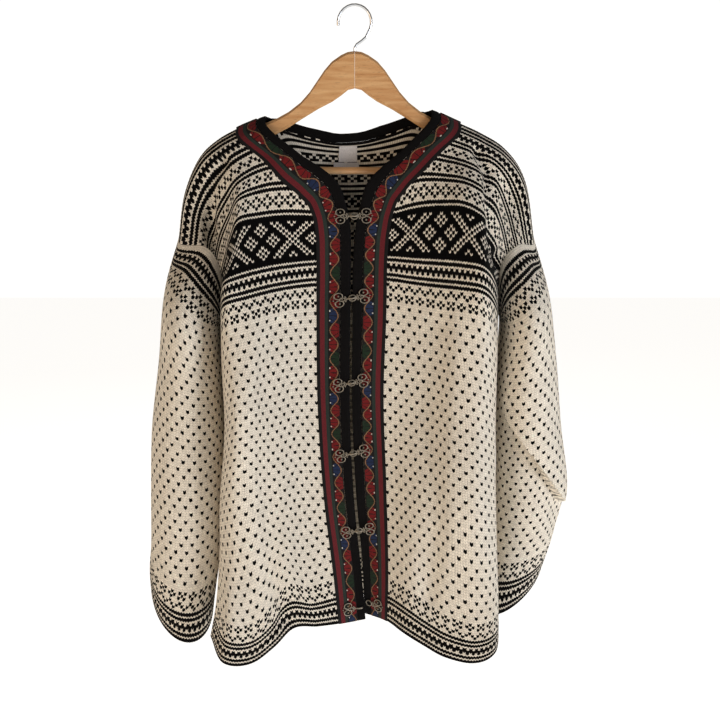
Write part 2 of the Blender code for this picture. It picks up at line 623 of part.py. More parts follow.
def make_clasp(number, frames, pewter):
    """A clasp's two halves: a hook on the wearer's right front and an eye on the left one."""
    hook = [(3.2, 1.3, 0.4, HOOK_RISE + PLATE_THICK), (1.6, 1.5, 0.4, HOOK_RISE + PLATE_THICK),
            (1.5, 1.6, HOOK_RISE, HOOK_RISE + PLATE_THICK), (-3.6, 1.8, HOOK_RISE, HOOK_RISE + PLATE_THICK),
            (-5.6, 2.2, 0.0, HOOK_RISE + PLATE_THICK * 0.4)]
    plate(f"clasp_{number}_hook", frames[RIGHT], hook + rosette_rows(-1), pewter)
    eye = [(-3.4, 1.6, 0.0, PLATE_THICK), (-2.2, 3.2, 0.0, PLATE_THICK), (-0.6, 4.0, 0.0, PLATE_THICK),
           (2.2, 4.2, 0.0, PLATE_THICK), (5.0, 4.0, 0.0, PLATE_THICK), (6.4, 3.2, 0.0, PLATE_THICK)]
    plate(f"clasp_{number}_eye", frames[LEFT], eye + rosette_rows(1), pewter, hole=(1, 5, 2.4))


def seat_frame(fronts, sides, drop, apart=0.0):
    """Where a flat metal piece lies on the bands of one or both fronts: origin and directions.

    A half that is not fastened lies this much further from the slit.
    """
    across, drops = np.meshgrid(apart + np.linspace(1.5, 27, 9), drop + np.linspace(-12, 12, 7))
    faces = {side: fronts[side].at(across, drops) + TRIM_TOP * fronts[side].normal(across, drops)
             for side in sides}
    if len(sides) == 2:
        along = unit(faces[LEFT][3, -1] - faces[RIGHT][3, -1])
        origin = (faces[LEFT][3, 0] + faces[RIGHT][3, 0]) / 2
        down = unit(sum(face[-1].mean(axis=0) - face[0].mean(axis=0) for face in faces.values()))
    else:
        side = sides[0]
        flat = np.stack([np.ones(across.size), across.ravel(), drops.ravel()], axis=1)
        plane = np.linalg.lstsq(flat, faces[side].reshape(-1, 3), rcond=None)[0]
        along = unit(side * plane[1])
        down = unit(plane[2])
        origin = plane[0] + drop * plane[2] + apart * plane[1]
    out = unit(np.cross(down, along))
    up = unit(np.cross(out, along))
    highest = max(float(((face - origin) @ out).max()) for face in faces.values())
    return origin + (highest + CLASP_SEAT) * out, along, up, out


def rounded_section(along, bottom, top, half_depth):
    """Eight points around a bar of wood with softened corners."""
    soft = min(3.5, 0.3 * (top - bottom))
    return [(along, -half_depth, bottom + soft), (along, -half_depth + soft, bottom),
            (along, half_depth - soft, bottom), (along, half_depth, bottom + soft),
            (along, half_depth, top - soft), (along, half_depth - soft, top),
            (along, -half_depth + soft, top), (along, -half_depth, top - soft)]


def loft(name, sections, finish):
    """A closed body through rings of points, with flat ends."""
    count = len(sections[0])
    points = [p for section in sections for p in section]
    faces = []
    for r in range(len(sections) - 1):
        for c in range(count):
            n = (c + 1) % count
            faces.append([r * count + c, r * count + n, (r + 1) * count + n, (r + 1) * count + c])
    faces.append(list(range(count)))
    faces.append([(len(sections) - 1) * count + c for c in range(count)][::-1])
    return add_body(name, points, faces, finish)


def tube(name, path, radius, sides, finish):
    """A round bar along a path that lies in the plane of the hanger."""
    path = np.array(path, float)
    ahead = unit(np.gradient(path, axis=0))
    across = np.cross(ahead, (0, 1, 0))
    angles = np.arange(sides) * 2 * math.pi / sides
    rings = [[p + radius * (math.cos(a) * s + math.sin(a) * np.array([0, 1, 0])) for a in angles]
             for p, s in zip(path, across)]
    return loft(name, rings, finish)


def make_hanger(wood, wire):
    """The hanger's two arms, the dowel between them and the hook."""
    for side, word in ((RIGHT, "right"), (LEFT, "left")):
        sections = []
        for outward, top, bottom in ARM_OUTLINE:
            along = side * max(outward, SEAM_GAP / 2)
            half = HANGER_DEPTH / 2 - (1.0 if outward > 200 else 0.0)
            sections.append(rounded_section(along, bottom, top, half))
        loft("hanger_arm_" + word, sections, wood)
    bar = [(x, 0, BAR_HEIGHT) for x in (-BAR_END, -60, 60, BAR_END)]
    tube("hanger_bar", bar, BAR_RADIUS, 12, wood)
    centre = -(HOOK_RADIUS - WIRE_RADIUS)
    foot = ARM_OUTLINE[0][1] + SEAM_GAP
    path = [(0, 0, foot), (0.2, 0, foot + 4), (3, 0, foot + 8.5), (9, 0, foot + 12.5), (15, 0, foot + 17.5)]
    for degrees in range(-35, 196, 15):
        turn = math.radians(degrees)
        path.append((HOOK_RADIUS * math.cos(turn), 0, centre + HOOK_RADIUS * math.sin(turn)))
    tube("hanger_hook", path, WIRE_RADIUS, 8, wire)


def build():
    """Clears the scene and makes every piece."""
    for item in list(bpy.data.objects):
        bpy.data.objects.remove(item)
    wool = material("wool", "#D9CFC0", 0.95)
    ribbon_cloth = material("woven_band", "#6B1B22", 0.8)
    binding_cloth = material("black_binding", "#141211", 0.9)
    label_cloth = material("label_cloth", "#D8CFCB", 0.7)
    pewter = material("pewter", "#8A8272", 0.4, 1.0)
    wood = material("beech", "#C8935A", 0.45)
    wire = material("hook_wire", "#B9BBBD", 0.25, 1.0)
    fronts, back = make_cloth(wool)
    make_trim(fronts, back, ribbon_cloth, binding_cloth, label_cloth)
    for number, drop in enumerate(CLASP_DROPS, start=1):
        if number < len(CLASP_DROPS):
            shared = seat_frame(fronts, (RIGHT, LEFT), drop)
            frames = {RIGHT: shared, LEFT: shared}
        else:
            frames = {side: seat_frame(fronts, (side,), drop, OPEN_CLASP) for side in (RIGHT, LEFT)}
        make_clasp(number, frames, pewter)
    make_hanger(wood, wire)


build()
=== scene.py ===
# %% [markdown]
# # A Norwegian cardigan on its wooden hanger
# The real cardigan is knitted by machine in two yarns, natural white and black, in flat pieces
# that are linked at the shoulders, sides and armholes. A woven band and a black binding run round
# the neck and down both fronts, and pewter clasps hold the fronts together.
# A knitted cloth could be one smooth sheet with a picture of stitches on it. Here every stitch is
# a small pair of faces with its own yarn, because the pattern is made of stitches: each motif then
# has the stepped edge that knitting gives it, from any side and at any distance.

import math

import bmesh
import bpy
import numpy as np
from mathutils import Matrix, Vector


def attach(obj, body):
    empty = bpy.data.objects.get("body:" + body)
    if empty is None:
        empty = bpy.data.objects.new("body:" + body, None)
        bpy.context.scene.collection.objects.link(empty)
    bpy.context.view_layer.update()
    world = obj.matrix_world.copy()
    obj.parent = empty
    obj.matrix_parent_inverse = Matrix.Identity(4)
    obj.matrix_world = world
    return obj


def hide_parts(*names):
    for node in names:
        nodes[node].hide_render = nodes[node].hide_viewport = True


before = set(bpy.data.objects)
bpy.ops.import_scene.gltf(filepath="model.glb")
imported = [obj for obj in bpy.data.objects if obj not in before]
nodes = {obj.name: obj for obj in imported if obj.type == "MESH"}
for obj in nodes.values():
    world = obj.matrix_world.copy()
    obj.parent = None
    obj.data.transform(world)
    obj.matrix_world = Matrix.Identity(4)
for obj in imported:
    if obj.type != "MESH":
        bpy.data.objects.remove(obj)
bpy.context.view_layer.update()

# %% [markdown]
# ## Camera, floor and light
# The cardigan hangs in the air, and the camera looks slightly down on it from chest height, about
# a metre and a quarter away. Daylight from a window on the right reaches it, cool and soft, and the
# room gives back a little warm light from the left. Three large area lamps do that without hard
# shadows. The backdrop is brighter than the light it gives, as in a studio where it stands far
# behind. The floor stays far enough below to keep clear of the hem.

# %% Camera
camera_data = bpy.data.cameras.new("camera")
camera_data.lens = 45.45
camera_data.sensor_width = 36
camera_data.clip_start = 0.05
camera = bpy.data.objects.new("camera", camera_data)
camera.location = (0.007, -1.261, -0.161)
camera.rotation_euler = (math.radians(76), 0, 0)
bpy.context.scene.collection.objects.link(camera)
bpy.context.scene.camera = camera
print("camera lens in mm:", round(camera_data.lens, 2))

# %% Colours and nodes
def colour_value(hex_colour):
    """A display colour as the linear value that a shader takes."""
    parts = [int(hex_colour[i:i + 2], 16) / 255 for i in (1, 3, 5)]
    return [p / 12.92 if p <= 0.04045 else ((p + 0.055) / 1.055) ** 2.4 for p in parts] + [1.0]


def feed(tree, node, inputs):
    """Gives each of these inputs of a node a constant, or the socket that feeds it."""
    for name, value in inputs.items():
        if isinstance(value, bpy.types.NodeSocket):
            tree.links.new(value, node.inputs[name])
        else:
            node.inputs[name].default_value = value


def add_node(tree, kind, inputs=None, output=0, **settings):
    """Adds a node with its settings, feeds its inputs and returns one of its output sockets."""
    made = tree.nodes.new("ShaderNode" + kind)
    for name, value in settings.items():
        setattr(made, name, value)
    feed(tree, made, inputs or {})
    return made.outputs[output]


def new_material(name, **sockets):
    """A material whose shader has these constants. Returns it with its tree and shader."""
    made = bpy.data.materials.new(name)
    made.use_nodes = True
    shader = made.node_tree.nodes["Principled BSDF"]
    feed(made.node_tree, shader, {name.replace("_", " "): value for name, value in sockets.items()})
    return made, made.node_tree, shader


print("natural white yarn in linear light:", [round(v, 3) for v in colour_value("#F6EBD8")])

# %% Floor and lamps
def add_lamp(name, place, aim, size, power, hex_colour):
    """A soft square lamp that faces a point."""
    lamp = bpy.data.lights.new(name, "AREA")
    lamp.size = size
    lamp.energy = power
    lamp.color = colour_value(hex_colour)[:3]
    holder = bpy.data.objects.new(name, lamp)
    holder.location = place
    holder.rotation_euler = (Vector(aim) - Vector(place)).to_track_quat("-Z", "Y").to_euler()
    bpy.context.scene.collection.objects.link(holder)


CHEST = (0, 0, -0.45)
add_lamp("window_light", (2.3, -1.7, -0.3), CHEST, 1.0, 38, "#F1F5FF")
add_lamp("room_light", (-2.1, -2.0, -0.35), CHEST, 1.6, 17, "#FFDCB4")
add_lamp("back_light", (-0.6, 2.4, 1.0), CHEST, 2.0, 10, "#FFF8F0")

ROOM_BRIGHTNESS, BACKDROP_BRIGHTNESS = 0.14, 1.07
world = bpy.data.worlds.new("pale_room")
world.use_nodes = True
bpy.context.scene.world = world
sky = world.node_tree.nodes["Background"]
seen = add_node(world.node_tree, "LightPath", output="Is Camera Ray")
brightness = add_node(world.node_tree, "MapRange", {0: seen, 3: ROOM_BRIGHTNESS, 4: BACKDROP_BRIGHTNESS})
feed(world.node_tree, sky, {"Color": colour_value("#FFFDFA"), "Strength": brightness})
bpy.context.scene.view_settings.view_transform = "Standard"

# Matt wall paint: pale, and without any gloss that would draw the eye from the cloth
FLOOR_HEIGHT, FLOOR_HALF = -1.45, 6
floor_material = new_material("pale_floor_paint", Base_Color=colour_value("#F7F6F3"), Roughness=0.9,
                              Emission_Color=colour_value("#FFFDFA"), Emission_Strength=0.85)[0]
floor_corners = [(FLOOR_HALF * x, FLOOR_HALF * y, FLOOR_HEIGHT)
                 for x, y in ((-1, -1), (1, -1), (1, 1), (-1, 1))]
floor_mesh = bpy.data.meshes.new("floor")
floor_mesh.from_pydata(floor_corners, [], [(0, 1, 2, 3)])
floor_mesh.materials.append(floor_material)
floor = bpy.data.objects.new("floor", floor_mesh)
bpy.context.scene.collection.objects.link(floor)

# %% [markdown]
# ## Gauge and cut
# Ten stitches are 40 mm wide and ten rows 35 mm high. Everything on the cloth is placed in those
# flat measures, as the knitter has them on paper: `across`, outward from the centre front or back,
# and `drop`, downward from the shoulder seam. A table of hanging cross sections then says where
# each flat place is in the air. The solids are made from the same numbers, so the dressed pieces
# lie where the solids are, apart from a few shallow folds and the line of the right sleeve.

# %% Measures in millimetres
MM = 0.001
SEAM_GAP = 0.3
WALL = 2.6
STITCH, ROW = 4.0, 3.5
HALF_STITCHES, BODY_ROWS, ARMHOLE_ROWS, SLEEVE_ROWS = 70, 212, 58, 150
HALF_WIDTH = HALF_STITCHES * STITCH
BODY_LENGTH = BODY_ROWS * ROW
ARMHOLE_DEPTH = ARMHOLE_ROWS * ROW
RIGHT, LEFT = -1, 1
RIBBON_WIDTH = 33.0
TRIM_TOP, RIBBON_UNDER, BACK_LIFT = 1.4, 0.4, 1.2
BEHIND_GAP, FACING_WIDTH, FACING_THICK = 0.8, 4.0, 1.0
NEAR = 0.5  # how far to each side a direction is measured
RING_STEPS = 120  # straight steps along which a sleeve's ring is measured

FRONT_EDGE = ((96, 0), (96, 16), (90, 43), (76, 66), (53, 84), (33, 103), (22, 128), (17, 158),
              (15.5, 195), (15.5, 260), (15.5, 420), (15.5, 580), (15.5, BODY_LENGTH))
BACK_EDGE = ((-96, 0), (-94, 8), (-85, 19), (-64, 30), (-32, 33), (0, 33),
             (32, 33), (64, 30), (85, 19), (94, 8), (96, 0))

STATIONS = (0, 12, 22, 32, 40, 48, 59, 70)
NECK_STATIONS = (16, 19)
ALL_STATIONS = STATIONS[:2] + NECK_STATIONS + STATIONS[2:]
print("half the body in mm:", HALF_WIDTH, "wide", BODY_LENGTH, "long")

# %% Hanging cross sections
RIGHT_FRONT = (
    (0, (50, 0, -143), (88, 0, -142), (124, 0, -141), (158, 0, -155), (184, 0, -169),
     (207, 0, -189), (231, 0, -237), (242, 0, -297)),
    (18, (4, -25, -195), (52, -25, -195), (94, -27, -192), (131, -28, -200), (157, -38, -216),
     (175, -28, -238), (198, -14, -276), (201, -38, -309)),
    (36, (2, -28, -259), (51, -30, -259), (91, -36, -257), (128, -48, -260), (153, -60, -266),
     (165, -54, -290), (174, -46, -316), (183, -34, -341)),
    (58, (4, -27, -337), (52, -28, -336), (87, -46, -337), (120, -67, -340), (147, -84, -345),
     (168, -94, -352), (180, -56, -380), (184, -8, -412)),
    (80, (5, -26, -416), (53, -26, -416), (85, -50, -414), (113, -77, -416), (138, -95, -420),
     (166, -98, -427), (181, -62, -454), (185, -20, -482)),
    (110, (6, -24, -524), (53, -24, -524), (86, -45, -520), (111, -76, -521), (128, -100, -520),
     (157, -109, -522), (177, -76, -544), (184, -34, -572)),
    (152, (1, -20, -671), (46, -22, -670), (80, -40, -664), (108, -68, -663), (132, -89, -661),
     (165, -97, -665), (190, -68, -684), (196, -28, -702)),
    (195, (-12, -4, -819), (31, -21, -817), (67, -43, -817), (96, -63, -804), (117, -75, -829),
     (144, -87, -850), (181, -98, -846), (204, -60, -832)),
    (212, (-17, -8, -881), (25, -23, -881), (56, -41, -875), (92, -58, -869), (118, -76, -888),
     (148, -90, -905), (190, -98, -900), (213, -62, -878)),
)
LEFT_FRONT = (
    (0, (34, 0, -133), (70, 0, -132), (107, 0, -133), (141, 0, -148), (170, 0, -161),
     (200, 0, -179), (231, 0, -222), (246, 0, -298)),
    (18, (-4, -25, -193), (44, -25, -191), (87, -27, -182), (125, -30, -188), (154, -36, -197),
     (184, -32, -214), (209, -16, -256), (221, -38, -306)),
    (36, (-2, -28, -258), (46, -30, -257), (82, -40, -247), (117, -56, -243), (143, -70, -244),
     (168, -72, -258), (186, -56, -290), (199, -34, -332)),
    (58, (-4, -27, -331), (44, -28, -330), (79, -45, -331), (113, -64, -331), (139, -81, -331),
     (165, -97, -334), (189, -60, -364), (201, -8, -406)),
    (80, (-5, -26, -405), (43, -26, -406), (80, -39, -409), (114, -60, -412), (139, -79, -412),
     (169, -88, -417), (192, -60, -442), (199, -20, -474)),
    (110, (-6, -24, -513), (40, -24, -514), (78, -34, -519), (111, -55, -521), (135, -76, -523),
     (166, -84, -528), (193, -60, -548), (199, -20, -570)),
    (152, (-1, -18, -660), (45, -22, -660), (77, -46, -662), (108, -70, -665), (134, -86, -667),
     (167, -93, -672), (197, -68, -688), (205, -26, -702)),
    (195, (10, 3, -815), (49, -22, -814), (77, -49, -819), (108, -60, -838), (137, -71, -851),
     (172, -82, -856), (204, -80, -842), (209, -42, -820)),
    (212, (12, 6, -878), (48, -20, -878), (70, -47, -881), (101, -66, -892), (130, -78, -903),
     (168, -88, -907), (203, -86, -891), (212, -52, -862)),
)
# Cross sections of the back, whose last station, the side seam or armhole, comes from the front
RIGHT_BACK = (
    (18, (6, 26, -200), (58, 27, -198), (98, 28, -197), (133, 30, -203), (158, 34, -217),
     (178, 32, -240), (200, 18, -276)),
    (36, (6, 32, -262), (56, 33, -261), (95, 36, -260), (130, 42, -264), (157, 50, -276),
     (172, 57, -302), (181, 50, -331)),
    (58, (6, 38, -338), (55, 39, -338), (93, 43, -338), (128, 52, -340), (156, 60, -346),
     (178, 60, -364), (188, 30, -396)),
    (80, (6, 42, -414), (54, 44, -414), (92, 50, -415), (128, 57, -417), (155, 57, -420),
     (176, 44, -430), (187, 16, -456)),
    (110, (6, 50, -520), (48, 54, -520), (84, 62, -521), (122, 67, -522), (152, 61, -525),
     (177, 43, -532), (189, 8, -554)),
    (152, (2, 46, -667), (46, 56, -667), (82, 70, -669), (120, 74, -671), (150, 66, -674),
     (176, 48, -678), (194, 12, -694)),
    (195, (-1, 44, -810), (48, 58, -812), (90, 74, -816), (128, 72, -819), (157, 56, -820),
     (182, 30, -822), (199, -16, -828)),
    (212, (-2, 46, -868), (50, 60, -872), (94, 76, -878), (132, 72, -880), (160, 54, -880),
     (184, 26, -878), (202, -18, -872)),
)
LEFT_BACK = (
    (18, (-6, 26, -200), (48, 27, -196), (88, 28, -190), (125, 32, -193), (154, 36, -201),
     (184, 32, -219), (211, 18, -258)),
    (36, (-6, 32, -262), (46, 33, -259), (84, 35, -255), (120, 40, -254), (148, 50, -261),
     (175, 57, -282), (195, 50, -316)),
    (58, (-6, 38, -338), (44, 40, -336), (84, 44, -334), (120, 50, -334), (148, 60, -338),
     (178, 60, -354), (199, 30, -388)),
    (80, (-6, 42, -414), (43, 44, -412), (83, 50, -411), (120, 56, -412), (150, 58, -414),
     (178, 44, -424), (196, 18, -448)),
    (110, (-6, 50, -520), (37, 54, -520), (76, 64, -520), (114, 70, -522), (146, 64, -525),
     (175, 46, -532), (196, 16, -550)),
    (152, (-2, 46, -667), (44, 54, -666), (80, 68, -667), (118, 74, -669), (149, 68, -672),
     (176, 44, -678), (196, 10, -690)),
    (195, (1, 44, -810), (50, 56, -811), (90, 72, -813), (128, 70, -815), (156, 52, -816),
     (178, 22, -818), (196, -14, -820)),
    (212, (2, 46, -868), (52, 58, -870), (94, 74, -873), (132, 70, -873), (158, 48, -871),
     (180, 18, -866), (198, -20, -860)),
)
# First two stations of the back neck, at the seam's height and on the ridge's row
BACK_NECK_RIGHT = (((6, 18, -142.5), (62, 9, -137)), ((6, 22, -156), (62, 17, -149)))
BACK_NECK_LEFT = (((-6, 18, -142.5), (50, 9, -131)), ((-6, 22, -156), (50, 17, -142)))
RIDGE_ROW = 4  # rows over the rounded ridge of the shoulders
RIDGE_HALF, RIDGE_FALL = 10.5, 8.0
BACK_OF_ARMHOLE = 0.75
ARMPIT_ROW = 62
ALL_ROWS = (-RIDGE_ROW, 0, RIDGE_ROW, 18, 36, ARMHOLE_ROWS, ARMPIT_ROW, 80, 110, 152, 195, BODY_ROWS)

# Sleeves. A row holds the share of the length from the armhole to the cuff, the middle of the
# section (outward, back, up), its half width and half depth, and how steeply the section falls
# towards the body and towards the front. The right sleeve is drawn up to 4 mm nearer the body than
# its solid, because no light shows between them.
RIGHT_SLEEVE = (
    (0.16, (226, -4, -398), 36, 76, 0.90, 0.05),
    (0.32, (233.5, -4, -486), 43.5, 68, 0.40, 0.10),
    (0.50, (241, -4, -580), 52, 58, 0.20, 0.20),
    (0.68, (247, -6, -676), 53, 50, 0.10, 0.40),
    (0.84, (253.5, -6, -762), 51.5, 42, 0.13, 0.80),
    (0.94, (261, -4, -812), 49, 37, 0.33, 1.35),
    (1.00, (264, -2, -845), 46, 35, 0.50, 1.60),
)
LEFT_SLEEVE = (
    (0.16, (237, 0, -398), 31, 78, 0.90, 0.05),
    (0.32, (244, 2, -484), 41, 70, 0.45, 0.10),
    (0.50, (252.5, 6, -578), 45.5, 60, 0.30, 0.10),
    (0.68, (261.5, 12, -672), 51.5, 50, 0.10, 0.10),
    (0.84, (256, 26, -757), 48, 44, 0.30, 0.15),
    (0.94, (251, 34, -812), 43, 39, 0.60, 0.25),
    (1.00, (247, 38, -850), 41, 37, 0.95, 0.30),
)

print("sections down a front:", len(RIGHT_FRONT), "and down a sleeve:", len(RIGHT_SLEEVE))

# %% Smooth curves
def spline_weights(knots, values):
    """Weights of a smooth curve through the knots at the values, straight beyond its ends."""
    knots = np.asarray(knots, float)
    values = np.atleast_1d(np.asarray(values, float))
    count = len(knots)
    steps = np.diff(knots)
    slope = np.zeros((count, count))
    for i in range(count):
        before, after = max(i - 1, 0), min(i, count - 2)
        share = 0.5 if before == after else steps[before] / (steps[before] + steps[after])
        for cell, part in ((before, 1 - share), (after, share)):
            slope[i, cell + 1] += part / steps[cell]
            slope[i, cell] -= part / steps[cell]
    cell = np.clip(np.searchsorted(knots, values, side="right") - 1, 0, count - 2)
    held = np.clip(values, knots[0], knots[-1])
    t = (held - knots[cell]) / steps[cell]
    one = np.eye(count)
    weights = ((2 * t**3 - 3 * t**2 + 1)[:, None] * one[cell]
               + (3 * t**2 - 2 * t**3)[:, None] * one[cell + 1]
               + ((t**3 - 2 * t**2 + t) * steps[cell])[:, None] * slope[cell]
               + ((t**3 - t**2) * steps[cell])[:, None] * slope[cell + 1])
    end = np.where(values < knots[0], 0, count - 1)
    return weights + (values - held)[:, None] * slope[end]


def unit(vectors):
    """The vectors at length one."""
    return vectors / np.linalg.norm(vectors, axis=-1, keepdims=True)


def run_along(line):
    """Distances along a line from its start to each of its points."""
    return np.concatenate([[0], np.cumsum(np.linalg.norm(np.diff(line, axis=0), axis=1))])


print("weights halfway from one of three knots to the next:", spline_weights((0, 1, 2), 0.5).round(3)[0])


# %% The smooth surface of a panel
class Panel:
    """The smooth surface of one knitted panel, by its flat measures in millimetres."""

    def __init__(self, rows, stations, points, turn):
        self.rows = np.array(rows, float) * ROW
        self.stations = np.array(stations, float) * STITCH
        self.points = np.array(points, float)
        self.turn = turn

    def at(self, across, drop):
        """Points of the outer face."""
        across, drop = np.broadcast_arrays(np.asarray(across, float), np.asarray(drop, float))
        by_row = spline_weights(self.rows, drop.ravel())
        by_station = spline_weights(self.stations, across.ravel())
        points = np.einsum("ni,nj,ijc->nc", by_row, by_station, self.points)
        return points.reshape(across.shape + (3,))

    def slopes(self, across, drop):
        """Unit directions outward along the row and down the panel."""
        along = self.at(across + NEAR, drop) - self.at(across - NEAR, drop)
        down = self.at(across, drop + NEAR) - self.at(across, drop - NEAR)
        return unit(along), unit(down)

    def normal(self, across, drop):
        """Directions out of the garment."""
        along, down = self.slopes(across, drop)
        normals = self.turn * np.cross(down, along)
        on_seam = np.broadcast_to(np.asarray(drop) <= SEAM_GAP, normals.shape[:-1])
        normals[on_seam, 1] = 0  # front and back meet squarely on the ridge
        return unit(normals)


# %% Panels from their tables
def over_ridge(seam, towards):
    """The section a few rows below the shoulder seam, where the cloth has come over the ridge."""
    return seam + (0, towards * RIDGE_HALF, -RIDGE_FALL)


def with_neck_stations(points):
    """The sections with two more stations beside the neck.

    On the ridge they lie straight on from the shoulder, so that front and back share one seam.
    """
    extra = np.einsum("ni,ric->rnc", spline_weights(STATIONS, NECK_STATIONS), points)
    for i, station in enumerate(NECK_STATIONS):
        on = (station - STATIONS[2]) / (STATIONS[3] - STATIONS[2])
        extra[:3, i] = points[:3, 2] + on * (points[:3, 3] - points[:3, 2])
    return np.concatenate([points[:, :2], extra, points[:, 2:]], axis=1)


def with_armpit_row(rows, sections):
    """The sections with one more just below the armhole, so that the side seams run alike."""
    below = ALL_ROWS.index(ARMPIT_ROW) - 3
    extra = np.einsum("ni,ikc->nkc", spline_weights(rows, ARMPIT_ROW), np.array(sections))
    return sections[:below] + [extra[0]] + sections[below:]


def front_panel(table, side):
    """A front from its table. The surface also runs over the ridge, so that it meets the back."""
    rows = [row[0] for row in table]
    sections = [np.array(row[1:], float) for row in table]
    ridge = [over_ridge(sections[0], 1), sections[0], over_ridge(sections[0], -1)]
    points = with_neck_stations(np.array(ridge + with_armpit_row(rows[1:], sections[1:])))
    points[..., 0] *= side
    return Panel(ALL_ROWS, ALL_STATIONS, points, side)


def back_half(table, front_table, neck):
    """The sections of half a back, closed at the side seam or armhole by the front's last station."""
    rows = [row[0] for row in table]
    sections = with_armpit_row(rows, [np.array(row[1:], float) for row in table])
    seam = front_panel(front_table, LEFT).points[3:, -1]
    for i, row in enumerate(ALL_ROWS[3:]):
        edge = seam[i] * (1, -BACK_OF_ARMHOLE, 1) if row < ARMHOLE_ROWS else seam[i]
        sections[i] = np.concatenate([sections[i], [edge]])
    shoulder = np.array(front_table[0][1:], float)
    ridge = [over_ridge(shoulder, -1), shoulder, over_ridge(shoulder, 1)]
    for section, places in zip(ridge[1:], neck):
        section[:2] = places
    ridge[0][:2] = 2 * ridge[1][:2] - ridge[2][:2]
    return with_neck_stations(np.array(ridge + sections))


def back_panel():
    """The back from its two halves."""
    right = back_half(RIGHT_BACK, RIGHT_FRONT, BACK_NECK_RIGHT)
    left = back_half(LEFT_BACK, LEFT_FRONT, BACK_NECK_LEFT)
    right[..., 0] *= RIGHT
    stations = [-k for k in ALL_STATIONS[:0:-1]] + list(ALL_STATIONS)
    return Panel(ALL_ROWS, stations, np.concatenate([right[:, :0:-1], left], axis=1), -1)


print("stations across a front and the back:", len(ALL_STATIONS), 2 * len(ALL_STATIONS) - 1)


# %% Cut edges and rings
class Edge:
    """A smooth cut edge in flat measures, with the direction that leads into the knit.

    The shares are places along its length, and every piece that meets there takes the same ones.
    """

    def __init__(self, corners, shares, into_knit):
        corners = np.array([(a, max(d, SEAM_GAP / 2)) for a, d in corners], float)
        length = run_along(corners)
        where = np.asarray(shares, float) * length[-1]
        self.flat = spline_weights(length, where) @ corners
        ahead = unit(spline_weights(length, where + NEAR) @ corners
                     - spline_weights(length, where - NEAR) @ corners)
        self.inward = into_knit * np.stack([-ahead[:, 1], ahead[:, 0]], axis=1)
        for end in (0, -1):  # the ends are cut along a seam or a hem
            self.inward[end] = unit(np.round(self.inward[end]))

    def offset(self, width):
        """The flat measures of the line that lies this far into the knit."""
        flat = self.flat + width * self.inward
        return flat[:, 0], flat[:, 1]


def ring_at_share(middle, half_width, half_depth, fall_in, fall_front, side, shares):
    """A sleeve's section, from its outer edge over the front, the body's side and the back."""
    angle = np.linspace(0, 2 * math.pi, RING_STEPS + 1)
    outward = half_width * np.cos(angle)
    back = -half_depth * np.sin(angle)
    up = fall_in * outward + fall_front * back
    loop = np.stack([outward, back, up], axis=1) + middle
    loop[:, 0] *= side
    length = run_along(loop)
    where = shares * length[-1]
    return np.stack([np.interp(where, length, loop[:, i]) for i in range(3)], axis=1)


print("cut edge of a front in mm:", round(run_along(FRONT_EDGE)[-1]))

# %% [markdown]
# ## Charts
# A knitter reads the pattern from a chart, one square for a stitch. The chart here is worked out
# from its repeats instead of being drawn square by square, because each border is only a few
# stitches that come again and again: teeth of two, zigzags and diamonds of four, crosses of eight,
# and the wide band of twenty-two. `i` counts stitches from the middle of a motif.

# %% Small borders
def row_of(kind, line, i):
    """True where the row of a small border has the black yarn. `line` counts its rows."""
    if kind == "white":
        return np.zeros(i.shape, bool)
    if kind == "black":
        return np.ones(i.shape, bool)
    if kind == "teeth":
        return (i % 2 == (0, 0, 1)[line]) | (line == 1)
    if kind == "zigzag":
        return np.isin(i % 4, ((0,), (1, 3), (2,))[line])
    if kind == "lattice":
        return np.isin(i % 4, ((0,), (1, 3), (2,), (1, 3), (0,))[line])
    if kind == "crosses":
        return np.isin(i % 8, ((1, 7, 4), (0, 3, 5), (1, 7, 4))[line])
    return i % 4 == line  # specks


WIDE_REPEAT = 22


def wide_band(line, i):
    """The wide band of crosses in diamonds: white on black, with its middle row at line 0."""
    i = (i + 10) % WIDE_REPEAT - 10
    white = ((abs(i + line) == 1) | (abs(i - line) == 1)) & (abs(i) <= 7)
    white |= (abs(i) == 1) & (abs(line) == 6) | (i == 0) & (abs(line) == 5)
    for across, up in ((7, 0), (-7, 0), (15, 0), (11, -4), (11, 4), (-11, -4), (-11, 4)):
        half = WIDE_REPEAT // 2
        away = abs((i - across + half) % WIDE_REPEAT - half) + abs(line - up)
        in_column = i % WIDE_REPEAT == across % WIDE_REPEAT
        white |= (away == 0) | (away == 2) & ((abs(line - up) != 2) | in_column)
    return ~white


print("black in a row of zigzag:", row_of("zigzag", 1, np.arange(8)).astype(int))

# %% Whole charts
WIDE_ROWS = 13
BORDER_ROWS = {"lattice": 5}  # the other borders repeat after three rows
STRIPED = ["white", "black", "white", "black", "white"]
BORDER = ["teeth"] * 3 + STRIPED + ["zigzag"] * 3 + ["white"] + ["crosses"] * 3 + ["white"]
YOKE = (["white", "black"] * 3 + ["white"] + ["teeth"] * 3 + STRIPED + ["zigzag"] * 3 + STRIPED
        + ["crosses"] * 3 + STRIPED + ["lattice"] * 5 + STRIPED[:4] + ["black"] + ["wide"] * WIDE_ROWS
        + ["black"] * 2 + STRIPED[2:] + BORDER + ["white"])
SLEEVE_TOP = ["white"] * 3 + ["black", "white"] + BORDER + ["white"]
HEM_UPWARD = ["black", "white"] * 2 + BORDER
WIDE_MIDDLE = YOKE.index("wide") + WIDE_ROWS // 2
FLOAT_COVER = 0.62  # how much of the inside the spare yarn covers


